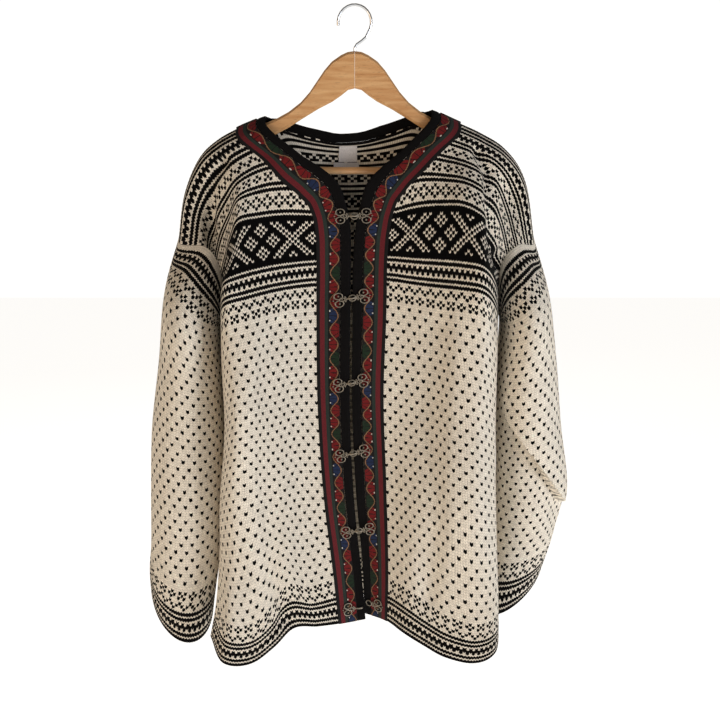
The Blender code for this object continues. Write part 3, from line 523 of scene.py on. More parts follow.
def chart(first_rows, count, i):
    """(rows, stitches) of black yarn on the right side, and the same seen from inside.

    Inside, a row of one colour looks the same. In a row of two, the yarn that is not in use runs
    behind the stitches, so the pattern shows with its colours changed over.
    """
    plan = [(kind, first_rows[:n].count(kind) % BORDER_ROWS.get(kind, 3))
            for n, kind in enumerate(first_rows)]
    for n in range(len(first_rows), count):
        since = n - len(first_rows)
        plan.append(("specks", 2 * (since // 3 % 2)) if since % 3 == 0 else ("white", 0))
    for n, kind in enumerate(HEM_UPWARD):
        plan[count - 1 - n] = (kind, HEM_UPWARD[:n].count(kind) % 3)
    outside, inside = [], []
    for n, (kind, line) in enumerate(plan):
        shift = 2 if kind == "crosses" and n > len(first_rows) else 0  # the hem's crosses
        black = wide_band(n - WIDE_MIDDLE, i) if kind == "wide" else row_of(kind, line, i + shift)
        share = black.astype(float)
        outside.append(share)
        if kind in ("white", "black"):
            inside.append(share)
        else:
            inside.append((1 - share) * (FLOAT_COVER if kind == "specks" else 1.0))
    return np.array(outside), np.array(inside)


print("yoke rows:", len(YOKE), "middle of the wide band:", WIDE_MIDDLE)

# %% [markdown]
# ## Stitches
# A knitted stitch shows as a V: two legs of yarn that lean together at the foot. So each stitch
# gets two faces, one for a leg. The points between neighbouring stitches sit half a row higher than
# the points in the middle of a V, and the middle stands a little proud, which gives the columns of
# the cloth their soft ribs. The inside is a plainer layer, one face a stitch, a wall's thickness
# behind, and narrow faces close the edges so that the cloth is a true thickness.

# %% Knitting a panel
CHEVRON = 0.5  # how much higher a V's arms start, in rows
RIB = 0.35  # how far the middle of a V stands proud, in mm
UNEVEN = 0.05  # unevenness of the stitches, in stitches
YARN_SHADE = 0.05  # how much the brightness varies between stitches
SPREAD_ACROSS, SPREAD_DOWN = 0.17, 0.2  # how far black yarn, which is fluffier, swells
YARNS = np.array([colour_value("#F6EBD8"), colour_value("#080707")])
chance = np.random.RandomState(8)


def leg_corners(black, first):
    """Where the corners of all legs lie, in stitches across and rows down."""
    rows, stitches = black.shape
    legs = np.arange(2 * stitches + 1)
    along = first + legs / 2 + np.zeros((rows + 1, 1))
    down = np.arange(rows + 1)[:, None] - np.where(legs % 2 == 0, CHEVRON, 0)
    loose = np.ones(down.shape)
    loose[[0, -1]] = 0
    loose[:, [0, -1]] = 0
    around = np.pad(black, 1, mode="edge")
    above, below = around[:-1], around[1:]
    left_of, right_of = (legs + 1) // 2, legs // 2 + 1
    blacker_right = ((above + below)[:, right_of] - (above + below)[:, left_of]) / 2
    blacker_below = ((below - above)[:, right_of] + (below - above)[:, left_of]) / 2
    along = along + loose * (UNEVEN * chance.standard_normal(down.shape) - SPREAD_ACROSS * blacker_right)
    down = down + loose * (UNEVEN * chance.standard_normal(down.shape) - SPREAD_DOWN * blacker_below)
    down[0], down[-1] = 0, rows
    return along, down


def stitch_faces(black, inside_black, keep):
    """Groups of faces: their corners, their share of black and their brightness."""
    rows, stitches = black.shape
    wide = 2 * stitches + 1

    def outer(r, leg):
        return r * wide + leg

    def inner(r, c):
        return (rows + 1) * wide + r * (stitches + 1) + c

    r, c = np.nonzero(keep)
    shade = 1 + YARN_SHADE * chance.standard_normal(len(r))
    groups = [([outer(r, leg), outer(r, leg + 1), outer(r + 1, leg + 1), outer(r + 1, leg)],
               black[r, c], shade) for leg in (2 * c, 2 * c + 1)]
    behind = [inner(r, c), inner(r + 1, c), inner(r + 1, c + 1), inner(r, c + 1)]
    groups.append((behind, inside_black[r, c], shade))
    held = np.pad(keep, 1)
    for step_r, step_c in ((-1, 0), (1, 0), (0, -1), (0, 1)):
        r, c = np.nonzero(keep & ~held[1 + step_r:rows + 1 + step_r, 1 + step_c:stitches + 1 + step_c])
        if step_r:
            e = r + (step_r > 0)
            rim = [outer(e, 2 * c + 2), outer(e, 2 * c + 1), outer(e, 2 * c), inner(e, c), inner(e, c + 1)]
        else:
            e = c + (step_c > 0)
            rim = [outer(r, 2 * e), outer(r + 1, 2 * e), inner(r + 1, e), inner(r, e)]
        groups.append((rim if step_r + step_c < 0 else rim[::-1], black[r, c], np.ones(len(r))))
    return groups


def knit(name, place, first, black, inside_black, keep, material):
    """A knitted piece. `place` turns stitch and row counts into points and normals."""
    rows, stitches = black.shape
    legs = np.arange(2 * stitches + 1)
    outer, normal = place(*leg_corners(black, first))
    outer = outer + normal * np.where(legs % 2 == 1, RIB, 0)[:, None]
    grids = [np.meshgrid(first + line, np.arange(rows + 1.0))
             for line in (legs / 2, np.arange(stitches + 1.0))]
    inner, normal = place(*grids[1])
    points = np.concatenate([outer.reshape(-1, 3), (inner - WALL * normal).reshape(-1, 3)])
    groups = stitch_faces(black, inside_black, keep)
    faces = [face for corners, _, _ in groups for face in np.stack(corners, axis=1).tolist()]
    middle = int(keep.sum()) // 2
    a, b, _, d = points[faces[middle]]
    if np.cross(b - a, d - a) @ normal[tuple(np.argwhere(keep)[middle])] < 0:
        faces = [face[::-1] for face in faces]
    flat = np.concatenate([np.stack(grid, -1).reshape(-1, 2) for grid in grids])
    share, light = (np.concatenate([group[n] for group in groups])[:, None] for n in (1, 2))
    colours = (YARNS[0] * (1 - share) + YARNS[1] * share) * light
    return cloth_piece(name, points, faces, flat, colours, material)


# %% Making the mesh
CREASE = math.radians(60)  # faces that meet more sharply look creased


def cloth_piece(name, points, faces, flat, colours, material):
    """A mesh from points in millimetres, with flat places and one colour for each face."""
    used, faces_again = np.unique(np.concatenate([np.array(f) for f in faces]), return_inverse=True)
    faces_again = np.split(faces_again, np.cumsum([len(f) for f in faces])[:-1])
    mesh = bpy.data.meshes.new(name)
    mesh.from_pydata((points[used] * MM).tolist(), [], [face.tolist() for face in faces_again])
    places = mesh.uv_layers.new(name="flat")
    corner = np.empty(len(mesh.loops), int)
    mesh.loops.foreach_get("vertex_index", corner)
    places.data.foreach_set("uv", flat[used][corner].ravel())
    tint = mesh.attributes.new("yarn", "FLOAT_COLOR", "FACE")
    colours = np.clip(colours, 0, 1)
    colours[:, 3] = 1
    tint.data.foreach_set("color", colours.ravel())
    mesh.shade_smooth()
    mesh.set_sharp_from_angle(angle=CREASE)
    mesh.materials.append(material)
    made = bpy.data.objects.new(name, mesh)
    bpy.context.scene.collection.objects.link(made)
    return made


def triangles(piece):
    """How many triangles a piece has."""
    return sum(len(face.vertices) - 2 for face in piece.data.polygons)


def settle(piece, slot, *replaced):
    """Puts a piece on the body in place of solids. Its slot is not used."""
    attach(piece, "root")
    if replaced:
        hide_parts(*replaced)
    print(piece.name, "has", triangles(piece), "triangles")
    return piece


# %% [markdown]
# ## Wool
# The yarn is a soft, slightly hairy wool that scatters light and has no shine of its own, so it is
# rough, with a faint sheen from the fibres that stand up at grazing angles. The colour comes from
# the faces, with shade painted into it in the hollows between the legs. The bump gives each leg its
# round back, from the flat places: one unit is one stitch across and one row down. A noise of about
# a millimetre, with finer parts, stands for the fibres.

# %% Knitted wool
def round_backs(tree, angles, powers):
    """A height from 0 to 1 over the round backs of legs or threads, from the flat places."""
    places = add_node(tree, "SeparateXYZ", {0: add_node(tree, "UVMap", uv_map="flat")}).node.outputs
    height = 1.0
    for place, angle, power in zip(places, angles, powers):
        turned = add_node(tree, "Math", {0: place, 1: angle}, operation="MULTIPLY")
        wave = add_node(tree, "Math", {0: turned}, operation="SINE")
        arch = add_node(tree, "Math", {0: wave}, operation="ABSOLUTE")
        rounded = add_node(tree, "Math", {0: arch, 1: power}, operation="POWER")
        height = add_node(tree, "Math", {0: height, 1: rounded}, operation="MULTIPLY")
    return height


def wool_material():
    """Stranded knitting in woollen yarn, with tufts of 1.1 mm, slightly greyer patches of 6 mm and painted
    shade between legs.
    """
    made, tree, shader = new_material("knitted_wool", Roughness=0.95, Sheen_Weight=0.03,
                                      Sheen_Roughness=0.5, Specular_IOR_Level=0.04)
    leg = round_backs(tree, (2 * math.pi, math.pi), (0.6, 0.4))
    place = add_node(tree, "TexCoord", output="Object")
    fibres = add_node(tree, "TexNoise", {"Vector": place, "Scale": 900.0, "Detail": 3.0, "Roughness": 0.7})
    height = add_node(tree, "Math", {0: fibres, 1: 0.35, 2: leg}, operation="MULTIPLY_ADD")
    bump = add_node(tree, "Bump", {"Height": height, "Strength": 0.75, "Distance": 0.0007})
    patches = add_node(tree, "TexNoise", {"Vector": place, "Scale": 160.0, "Detail": 2.0})
    # Painted shade: the yarn's colour darkens to 42% in the hollows between the legs and rows of the stitches
    depth = add_node(tree, "MapRange", {0: leg, 1: 0.0, 2: 0.75, 3: 0.42, 4: 1.0})
    worn = add_node(tree, "MapRange", {0: patches, 1: 0.3, 2: 0.7, 3: 0.93, 4: 1.05})
    # The colour's factor is the painted shade between the legs times the random greyer patches
    strength = add_node(tree, "Math", {0: depth, 1: worn}, operation="MULTIPLY")
    yarn = add_node(tree, "Attribute", output="Color", attribute_name="yarn")
    shaded = add_node(tree, "VectorMath", {0: yarn, "Scale": strength}, operation="SCALE")
    feed(tree, shader, {"Base Color": shaded, "Normal": bump})
    return made


wool = wool_material()
print("wool nodes:", len(wool.node_tree.nodes))

# %% Folds and the way onto a panel
LAP_RISE = 0.35  # how far a lap stands out, as a share of its depth
FOLDS_FROM, FOLD_FADE = 70, 15  # folds keep clear of the band and fade at the edges


def pressed_in(points, lines):
    """How far folds press the knit in, in mm, at these points.

    A line has its corners as seen from the front (x, z), how wide and how deep the fold is, and
    whether the knit above laps over the knit below it.
    """
    seen = points[..., [0, 2]]
    total = np.zeros(seen.shape[:-1])
    for corners, width, depth, laps in lines:
        nearest = np.full(total.shape, np.inf)
        below = np.zeros(total.shape, bool)
        for start, end in zip(np.array(corners[:-1], float), np.array(corners[1:], float)):
            ahead = end - start
            share = np.clip((seen - start) @ ahead / (ahead @ ahead), 0, 1)
            off = seen - start - share[..., None] * ahead
            away = np.linalg.norm(off, axis=-1)
            below = np.where(away < nearest, off @ np.array([ahead[1], -ahead[0]]) > 0, below)
            nearest = np.minimum(nearest, away)
        sides = np.where(below, 1.0, -LAP_RISE) if laps else 1.0
        total += sides * depth * np.exp(-(nearest / width) ** 2)
    return total


def on_panel(panel, folds=()):
    """Turns stitch and row counts into points and normals on a panel."""
    def place(along, down):
        drop = np.clip(down * ROW, SEAM_GAP / 2, BODY_LENGTH)
        across = np.clip(along * STITCH, -HALF_WIDTH + SEAM_GAP / 2, HALF_WIDTH - SEAM_GAP / 2)
        points, normals = panel.at(across, drop), panel.normal(across, drop)
        if folds:
            edges = (across - FOLDS_FROM, HALF_WIDTH - across, drop, BODY_LENGTH - drop)
            share = np.clip(np.minimum.reduce(edges) / FOLD_FADE, 0, 1)
            points = points - (pressed_in(points, folds) * share)[..., None] * normals
        return points, normals
    return place


# Soft folds of the fronts: creases that run down from the shoulders to the armholes, where the cloth
# hangs over the hanger's ends, and long hollows beside the two lobes of the hem.
FRONT_FOLDS = {
    RIGHT: ((((-174, -196), (-192, -227), (-197, -268), (-197, -314)), 6.5, 9.0, False),
            (((-104, -412), (-121, -486), (-127, -556), (-122, -658), (-117, -781), (-104, -851)),
             14.0, 6.0, False)),
    LEFT: ((((163, -185), (176, -211), (179, -267), (182, -313), (197, -331)), 6.5, 9.0, False),
           (((111, -417), (103, -543), (114, -691), (106, -818)), 14.0, 5.0, False)),
}
print("folds in the fronts:", sum(len(folds) for folds in FRONT_FOLDS.values()))

# %% Fronts and back
MOTIF_MIDDLE = 20  # stitch of a front in the middle of the motifs
FIRST_STITCH = 3  # where a front starts, under its band
UNDER_BAND = 1.0  # how far inside its cut edge the knit starts
fronts = {RIGHT: front_panel(RIGHT_FRONT, RIGHT), LEFT: front_panel(LEFT_FRONT, LEFT)}
back = back_panel()
row_middles = (np.arange(BODY_ROWS) + 0.5)[:, None] * ROW
columns = np.arange(FIRST_STITCH, HALF_STITCHES)
front_chart = chart(YOKE, BODY_ROWS, columns - MOTIF_MIDDLE)
edge_across, edge_drop = np.array(FRONT_EDGE).T
keep_front = (columns + 0.5) * STITCH > np.interp(row_middles, edge_drop, edge_across) + UNDER_BAND
for side, word in ((RIGHT, "right"), (LEFT, "left")):
    laid = on_panel(fronts[side], FRONT_FOLDS[side])
    made = knit("knit_front_" + word, laid, FIRST_STITCH, *front_chart, keep_front, wool)
    settle(made, "wool", "front_" + word)

columns = np.arange(-HALF_STITCHES, HALF_STITCHES)
edge_across, edge_drop = np.array(BACK_EDGE).T
neck_depth = np.interp((columns + 0.5) * STITCH, edge_across, edge_drop, left=-1, right=-1)
keep_back = row_middles > neck_depth + UNDER_BAND
back_chart = chart(YOKE, BODY_ROWS, columns)
back_piece = knit("knit_back", on_panel(back), -HALF_STITCHES, *back_chart, keep_back, wool)
settle(back_piece, "wool", "back")
print("stitches in a front and in the back:", int(keep_front.sum()), int(keep_back.sum()))

# %% [markdown]
# ## Sleeves
# Each sleeve is one flat piece, closed by a seam under the arm. It starts as wide as the armhole
# and loses stitches along that seam, so the columns of stitches run straight down from the
# shoulder and end one after another at the seam. The rings of the sleeve come from its table, and
# a row of stitches is laid round each ring from the top of the arm.

# %% Knitting a sleeve
AROUND, FINE = 96, 4  # places round a ring, and rings to a row
END_FADE, FRONT_ONLY = 6, 2  # folds fade in rows at the ends, and to the sides
WELD_REACH = 0.02  # how far apart the seam's two edges may be, in mm


def sleeve_surface(table, side):
    """Rings of a sleeve for a fine set of rows: points, their girths and normals."""
    drops = np.linspace(0, ARMHOLE_DEPTH, AROUND // 2 + 1)
    seam_front = fronts[side].at(HALF_WIDTH, drops)
    seam_back = back.at(side * HALF_WIDTH, drops)[-2:0:-1]
    seam = np.concatenate([seam_front, seam_back])
    shares = np.arange(AROUND) / AROUND
    rings = [seam] + [ring_at_share(row[1], *row[2:], side, shares) for row in table]
    ahead = unit(np.roll(seam, -1, axis=0) - np.roll(seam, 1, axis=0))
    rings[0] = seam + SEAM_GAP * unit(np.cross(np.cross(ahead, rings[1] - seam), ahead))
    knots = [0] + [row[0] for row in table]
    lengths = np.linspace(0, 1, FINE * SLEEVE_ROWS + 1)
    points = np.einsum("ri,inc->rnc", spline_weights(knots, lengths), np.array(rings))
    girths = np.linalg.norm(np.roll(points, -1, axis=1) - points, axis=2).sum(1)
    around = np.roll(points, -1, axis=1) - np.roll(points, 1, axis=1)
    normals = unit(side * np.cross(around, np.gradient(points, axis=0)))
    return points, girths, normals


def on_sleeve(points, girths, normals, folds):
    """Turns stitches from the top of the arm and rows from the armhole into points and normals."""
    def sample(values, row, share):
        ring = np.clip(np.round(row * FINE).astype(int), 0, len(values) - 1)
        place = (share % 1.0) * AROUND
        low = np.floor(place).astype(int)
        part = (place - low)[..., None]
        return values[ring, low % AROUND] * (1 - part) + values[ring, (low + 1) % AROUND] * part

    def place(along, down):
        row = np.clip(down, 0, SLEEVE_ROWS)
        girth = np.interp(row * FINE, np.arange(len(girths)), girths)
        share = np.clip(along * STITCH / girth, -0.5, 0.5)
        spots, out = sample(points, row, share), unit(sample(normals, row, share))
        if folds:
            to_end = np.clip(np.minimum(row, SLEEVE_ROWS - row) / END_FADE, 0, 1)
            to_side = np.clip(-FRONT_ONLY * out[..., 1], 0, 1)
            spots = spots - (pressed_in(spots, folds) * to_end * to_side)[..., None] * out
        return spots, out
    return place


# The left sleeve is bent at the elbow, and the upper arm laps over the forearm in a slanted fold.
SLEEVE_FOLDS = {
    RIGHT: (),
    LEFT: ((((192, -516), (224, -567), (264, -624), (303, -682), (319, -707)), 40.0, 11.0, True),),
}


def work_on(piece, operation, parts, **options):
    """Runs an operation of bmesh on all of a piece's "verts" or "faces"."""
    work = bmesh.new()
    work.from_mesh(piece.data)
    operation(work, **{parts: getattr(work, parts)}, **options)
    work.to_mesh(piece.data)
    work.free()


# %% Both sleeves
for side, table, word in ((RIGHT, RIGHT_SLEEVE, "right"), (LEFT, LEFT_SLEEVE, "left")):
    points, girths, normals = sleeve_surface(table, side)
    half = int(np.ceil(girths.max() / STITCH / 2))
    columns = np.arange(-half, half)
    half_girths = girths[FINE // 2::FINE][:SLEEVE_ROWS][:, None] / 2
    keep = np.minimum(abs(columns), abs(columns + 1)) * STITCH < half_girths - SEAM_GAP
    made = knit("knit_sleeve_" + word, on_sleeve(points, girths, normals, SLEEVE_FOLDS[side]), -half,
                *chart(SLEEVE_TOP, SLEEVE_ROWS, columns), keep, wool)
    work_on(made, bmesh.ops.remove_doubles, "verts", dist=WELD_REACH * MM)
    settle(made, "wool", "sleeve_" + word)
print("girths at armhole and cuff in mm:", round(girths[0]), round(girths[-1]))

# %% [markdown]
# ## Woven band
# The band is a narrow woven trimming, sewn down along both of its edges. It has a black edge, a
# wine-red stripe, a dark green stripe, and then a strip with a waving line of old gold that swings
# between filled half-moons. The weaver's pattern is made of threads, so the band is laid out in
# cells of one thread, and each cell gets the colour of the thread that floats there. The wave is
# set out so that a clasp always sits on a red half-moon, with three waves from clasp to clasp.

# %% Threads of the band
THREAD = 0.8  # width of a thread, in mm
BAND_THREADS = {"black": "#100D0C", "red": "#681C22", "green": "#27302A", "gold": "#91694A",
                "motif_red": "#731314", "blue": "#1C2A4A", "motif_green": "#172B18", "white": "#D8D2C4"}
THREAD_NAMES = list(BAND_THREADS)
THREAD_COLOURS = np.array([colour_value(value) for value in BAND_THREADS.values()])
MOTIF_FROM, MOTIF_TO = 0.6, 15.0  # the motif strip, measured from the cut edge
STRIPES = ((MOTIF_TO, "black"), (16.4, "green"), (21.0, "red"), (27.6, "black"))
WAVE_SWING, WAVE_LENGTH = 5.6, 38.0
OUTER_LOBES = ("blue", "motif_red", "motif_red")
INNER_LOBES = ("motif_red", "motif_red", "motif_green")
NECK_SHIFT = 2  # how many lobes further the neck's colours are
CLASP_DROPS = (136, 250, 369, 474, 597, 722)
WAVES_PER_CLASP = 3
WAVE_BEYOND = 38.3  # wave length above the first and below the last clasp
GOLD_HALF, BLACK_GAP, BLACK_MARGIN = 0.62, 1.1, 0.5  # the gold line, and the black round a half-moon
MOON_HALF, MOON_GROWTH, MOON_MOST = 7.4, 0.5, 9.6  # half width of a half-moon from its margin inward
RAYS, RAY_CENTRE, RAY_DARK = 6, 5, 0.26  # fine dark rays in a half-moon
DOT_APART, DOT_IN, DOT_HALF = 6.4, 1.2, 0.9  # white dots at the foot of an outer half-moon
THREAD_SHADE = 0.08  # how much the brightness varies between threads
UNDER_STEP = 4  # threads to a face on the under side


def band_threads(turns, width):
    """The thread that shows at these places: turns of the wave along, and millimetres across."""
    names = np.full(turns.shape, THREAD_NAMES.index("black"))
    for start, name in STRIPES:
        names[width >= start] = THREAD_NAMES.index(name)
    middle = (MOTIF_FROM + MOTIF_TO) / 2
    swing = WAVE_SWING * np.cos(2 * math.pi * turns)
    slope = 2 * math.pi * WAVE_SWING / WAVE_LENGTH * np.sin(2 * math.pi * turns)
    away = (width - middle - swing) / np.sqrt(1 + slope ** 2)
    in_strip = (width > MOTIF_FROM) & (width < MOTIF_TO)
    for lobes, shift, side in ((INNER_LOBES, 0.0, -1), (OUTER_LOBES, 0.5, 1)):
        count = np.round(turns - shift).astype(int)
        from_middle = WAVE_LENGTH * (turns - shift - count)
        from_margin = side * (middle - width) + (MOTIF_TO - MOTIF_FROM) / 2
        fan = abs(from_middle) < np.minimum(MOON_HALF + MOON_GROWTH * from_margin, MOON_MOST)
        filled = in_strip & fan & (side * away > BLACK_GAP) & (from_margin > BLACK_MARGIN)
        rays = abs(np.sin(RAYS * np.arctan2(from_middle, from_margin + RAY_CENTRE))) < RAY_DARK
        number = (count + NECK_SHIFT * (count < 0)) % len(lobes)
        for n, name in enumerate(lobes):
            names[filled & ~rays & (number == n)] = THREAD_NAMES.index(name)
        if side > 0:
            dots = (abs(abs(from_middle) - DOT_APART) < DOT_HALF) & (abs(from_margin - DOT_IN) < DOT_HALF)
            names[in_strip & dots] = THREAD_NAMES.index("white")
    names[in_strip & (abs(away) < GOLD_HALF)] = THREAD_NAMES.index("gold")
    return names


# %% Laying a band on a cut edge
front_line = Edge(FRONT_EDGE, np.linspace(0, 1, 800), -1).flat
clasp_lengths = np.interp(CLASP_DROPS, front_line[:, 1], run_along(front_line))


def turns_on_front(length, _=None):
    """Turns of the wave along a front's cut edge, with a clasp at each third whole turn."""
    turns = WAVES_PER_CLASP * np.arange(len(CLASP_DROPS))
    before = (length - clasp_lengths[0]) / WAVE_BEYOND
    after = turns[-1] + (length - clasp_lengths[-1]) / WAVE_BEYOND
    return np.where(length < clasp_lengths[0], before,
                    np.where(length > clasp_lengths[-1], after, np.interp(length, clasp_lengths, turns)))


def turns_on_back(length, edge_length):
    """Turns of the wave round the back neck, alike on both sides of its middle."""
    return turns_on_front(0.0) - np.minimum(length, edge_length - length) / WAVE_BEYOND


def lay_band(name, panel, corners, into_knit, turns_at, lift, material):
    """A woven band on a panel, thread by thread along a cut edge. Returns the piece and its length."""
    length = run_along(Edge(corners, np.linspace(0, 1, 400), into_knit).flat)[-1]
    count = int(round(length / THREAD))
    edge = Edge(corners, np.linspace(0, 1, count + 1), into_knit)
    inner_cells = np.arange(0, MOTIF_TO + 0.01, THREAD)
    widths = np.concatenate([inner_cells, np.arange(MOTIF_TO + 1, RIBBON_WIDTH, 1.0), [RIBBON_WIDTH]])
    top, under = [], []
    for width in widths:
        across, drop = edge.offset(width)
        points, normals = panel.at(across, drop), panel.normal(across, drop)
        pulled_down = 0.4 if width in (widths[0], widths[-1]) else 1.0  # by the stitching of its edges
        top.append(points + (lift + TRIM_TOP * pulled_down) * normals)
        under.append(points + (lift + RIBBON_UNDER) * normals)
    points = np.concatenate([np.stack(lines, 1).reshape(-1, 3) for lines in (top, under)])
    rows, wide = count + 1, len(widths)
    size = rows * wide

    def corner(r, c):
        return r * wide + c

    faces = [[corner(r, c), corner(r, c + 1), corner(r + 1, c + 1), corner(r + 1, c)]
             for r in range(rows - 1) for c in range(wide - 1)]
    cells = len(faces)
    coarse = [*range(0, rows - 1, UNDER_STEP), rows - 1]
    spans = list(zip(coarse[:-1], coarse[1:]))
    faces += [[size + corner(r0, c), size + corner(r1, c), size + corner(r1, c + 1), size + corner(r0, c + 1)]
              for r0, r1 in spans for c in range(wide - 1)]
    for column in (0, wide - 1):
        for r0, r1 in spans:
            upper = [corner(r, column) for r in range(r0, r1 + 1)]
            rim = upper + [size + upper[-1], size + upper[0]]
            faces.append(rim if column else rim[::-1])
    for r in (0, rows - 1):
        line = [corner(r, c) for c in range(wide)]
        faces.append(line + [size + n for n in line[::-1]])
    along = np.arange(rows) * length / count
    flat = np.stack(np.meshgrid(widths, along), -1).reshape(-1, 2)
    cell_widths, cell_lengths = np.meshgrid(widths[:-1] + np.diff(widths) / 2, along[:-1] + THREAD / 2)
    threads = band_threads(turns_at(cell_lengths, length), cell_widths).ravel()
    plain = np.repeat(THREAD_COLOURS[:1], len(faces) - cells, axis=0)
    colours = np.concatenate([THREAD_COLOURS[threads], plain])
    glow = 1 + THREAD_SHADE * chance.standard_normal(len(colours))[:, None]
    made = cloth_piece(name, points, faces, np.concatenate([flat, flat]), colours * glow, material)
    work_on(made, bmesh.ops.recalc_face_normals, "faces")
    return made, length


# %% Woven cotton, and the three bands
def band_material():
    """A woven trimming of fine cotton: threads in both directions, crossing every 0.8 mm.

    Cotton is smoother than wool, so the colours stay deep and the weave catches a little light.
    Shade is painted into the colours between the threads, and a faint highlight on their tops.
    """
    made, tree, shader = new_material("woven_band", Roughness=0.8, Sheen_Weight=0.05,
                                      Sheen_Roughness=0.5, Specular_IOR_Level=0.2)
    weave = round_backs(tree, (math.pi / THREAD, math.pi / THREAD), (1.0, 1.0))
    bump = add_node(tree, "Bump", {"Height": weave, "Strength": 0.6, "Distance": 0.00035})
    # Painted shade and highlight: thread colours darken to 60% between the threads and brighten by 5% on
    # their tops
    depth = add_node(tree, "MapRange", {0: weave, 1: 0.0, 2: 0.6, 3: 0.6, 4: 1.05})
    yarn = add_node(tree, "Attribute", output="Color", attribute_name="yarn")
    shaded = add_node(tree, "VectorMath", {0: yarn, "Scale": depth}, operation="SCALE")
    feed(tree, shader, {"Base Color": shaded, "Normal": bump})
    return made


band_cloth = band_material()
for side, word in ((RIGHT, "right"), (LEFT, "left")):
    made, band_length = lay_band("woven_band_" + word, fronts[side], FRONT_EDGE, -1,
                                 turns_on_front, 0, band_cloth)
    settle(made, "woven_band", "ribbon_" + word)
made, back_band_length = lay_band("woven_band_neck", back, BACK_EDGE, 1, turns_on_back, BACK_LIFT, band_cloth)
settle(made, "woven_band", "ribbon_back")
print("band on a front and on the back neck in mm:", round(band_length), round(back_band_length))

# %% [markdown]
# ## Black binding
# A strip of black woollen cloth is folded over the raw edge, so it shows as a plain black border
# outside the band, and its outer edge is a rounded fold. It is made as a tube of eight corners that
# follows the cut edge: flat above and below, round at the fold. A fine slanted bump is the twill.

# %% Binding
FOLD = ((-0.5, 1.0), (-4.0, 1.35), (-9.5, 1.3), (-12.4, 0.9),
        (-14.0, -0.6), (-12.6, -2.1), (-8.0, -2.6), (-0.5, -2.6))
RIPPLE, RIPPLE_TURN = 0.25, 1.3  # unevenness of the sewing, in mm and from point to point
FRONT_POINTS, NECK_POINTS = 240, 90


def cloth_material(name, hex_colour, roughness, twill, bump_depth, sheen):
    """A plain woven cloth in one colour, with fine slanted ribs and a fluff of 0.7 mm."""
    made, tree, shader = new_material(name, Roughness=roughness, Sheen_Weight=sheen,
                                      Sheen_Roughness=0.5, Specular_IOR_Level=0.15)
    place = add_node(tree, "TexCoord", output="Object")
    ribs = add_node(tree, "TexWave", {"Vector": place, "Scale": twill, "Distortion": 1.5, "Detail": 2.0},
                    "Fac", bands_direction="DIAGONAL")
    fluff = add_node(tree, "TexNoise", {"Vector": place, "Scale": 1400.0, "Detail": 3.0})
    height = add_node(tree, "Math", {0: ribs, 1: fluff}, operation="ADD")
    bump = add_node(tree, "Bump", {"Height": height, "Strength": 0.6, "Distance": bump_depth})
    tint = add_node(tree, "ValToRGB", {0: fluff})
    for stop, position, strength in zip(tint.node.color_ramp.elements, (0.35, 0.65), (0.8, 1.2)):
        stop.position = position
        stop.color = [strength * part for part in colour_value(hex_colour)[:3]] + [1.0]
    feed(tree, shader, {"Base Color": tint, "Normal": bump})
    return made


def strip_piece(name, lines, material):
    """A closed strip whose section is a ring of lines, each a row of points along the strip."""
    points = np.stack(lines, 1)
    rows, ring = points.shape[:2]
    faces = [[r * ring + c, r * ring + (c + 1) % ring, (r + 1) * ring + (c + 1) % ring, (r + 1) * ring + c]
             for r in range(rows - 1) for c in range(ring)]
    faces += [list(range(ring)), [(rows - 1) * ring + c for c in range(ring)]]
    flat = np.zeros((rows * ring, 2))
    made = cloth_piece(name, points.reshape(-1, 3), faces, flat, np.ones((len(faces), 4)), material)
    work_on(made, bmesh.ops.recalc_face_normals, "faces")
    return made


def bind(name, panel, corners, into_knit, material):
    """The folded binding along a cut edge, with the small unevenness of sewing by hand."""
    count = FRONT_POINTS if into_knit < 0 else NECK_POINTS
    edge = Edge(corners, np.linspace(0, 1, count), into_knit)
    lines = []
    for width, height in FOLD:
        across, drop = edge.offset(width)
        ripple = RIPPLE * np.sin(np.arange(count) * RIPPLE_TURN + width) * (width < -1)
        lines.append(panel.at(across, drop) + (height + ripple)[:, None] * panel.normal(across, drop))
    return strip_piece(name, lines, material)


# Woollen twill: matt and nearly black, so that the fold reads as one even line
binding_cloth = cloth_material("black_wool_twill", "#070505", 0.95, 420.0, 0.00025, 0.02)
for side, word in ((RIGHT, "right"), (LEFT, "left")):
    settle(bind("folded_binding_" + word, fronts[side], FRONT_EDGE, -1, binding_cloth),
                            "black_binding", "binding_" + word)
settle(bind("folded_binding_neck", back, BACK_EDGE, 1, binding_cloth),
                     "black_binding", "binding_back")

# %% Facing and labels
FACING_START, LABEL_THICK = 0.6, 0.8
behind = -WALL - BEHIND_GAP
edge = Edge(BACK_EDGE, np.linspace(0.1, 0.9, 70), 1)
facing_lines = []
for height, span in ((behind, (FACING_START, FACING_WIDTH)),
                     (behind - FACING_THICK, (FACING_WIDTH, FACING_START))):
    for width in span:
        across, drop = edge.offset(width)
        facing_lines.append(back.at(across, drop) + height * back.normal(across, drop))
facing = settle(strip_piece("facing_inside_neck", facing_lines, binding_cloth),
                "black_binding", "neck_facing")

# Satin: its long floats make a smooth face, brighter and glossier than the wool round it
label_cloth = cloth_material("satin_label_cloth", "#D8D2CE", 0.42, 700.0, 0.00008, 0.1)
for name, node, left, right, high, low in (("bare_label", "neck_label", -15, 8, 38, 62),
                                           ("bare_size_tag", "size_tag", -21, 10, 63, 70)):
    down = np.linspace(high, low, 12)
    lines = [back.at(x + 0 * down, down) + height * back.normal(x + 0 * down, down)
             for height, span in ((behind, (left, right)), (behind - LABEL_THICK, (right, left)))
             for x in np.linspace(*span, 8)]
    settle(strip_piece(name, lines, label_cloth), "label_cloth", node)

# %% [markdown]
# ## Pewter clasps
# Each clasp is cast in two halves that look like bent and twisted wire: two large rings side by
# side with a flatter one between them, a small ring for a stem, and then a hook on one half and an
# oval eye on the other. The halves are built ring by ring from one small function, because a cast
# clasp of this kind is just that, and the light catches every ring. Small beads sit where rings meet.

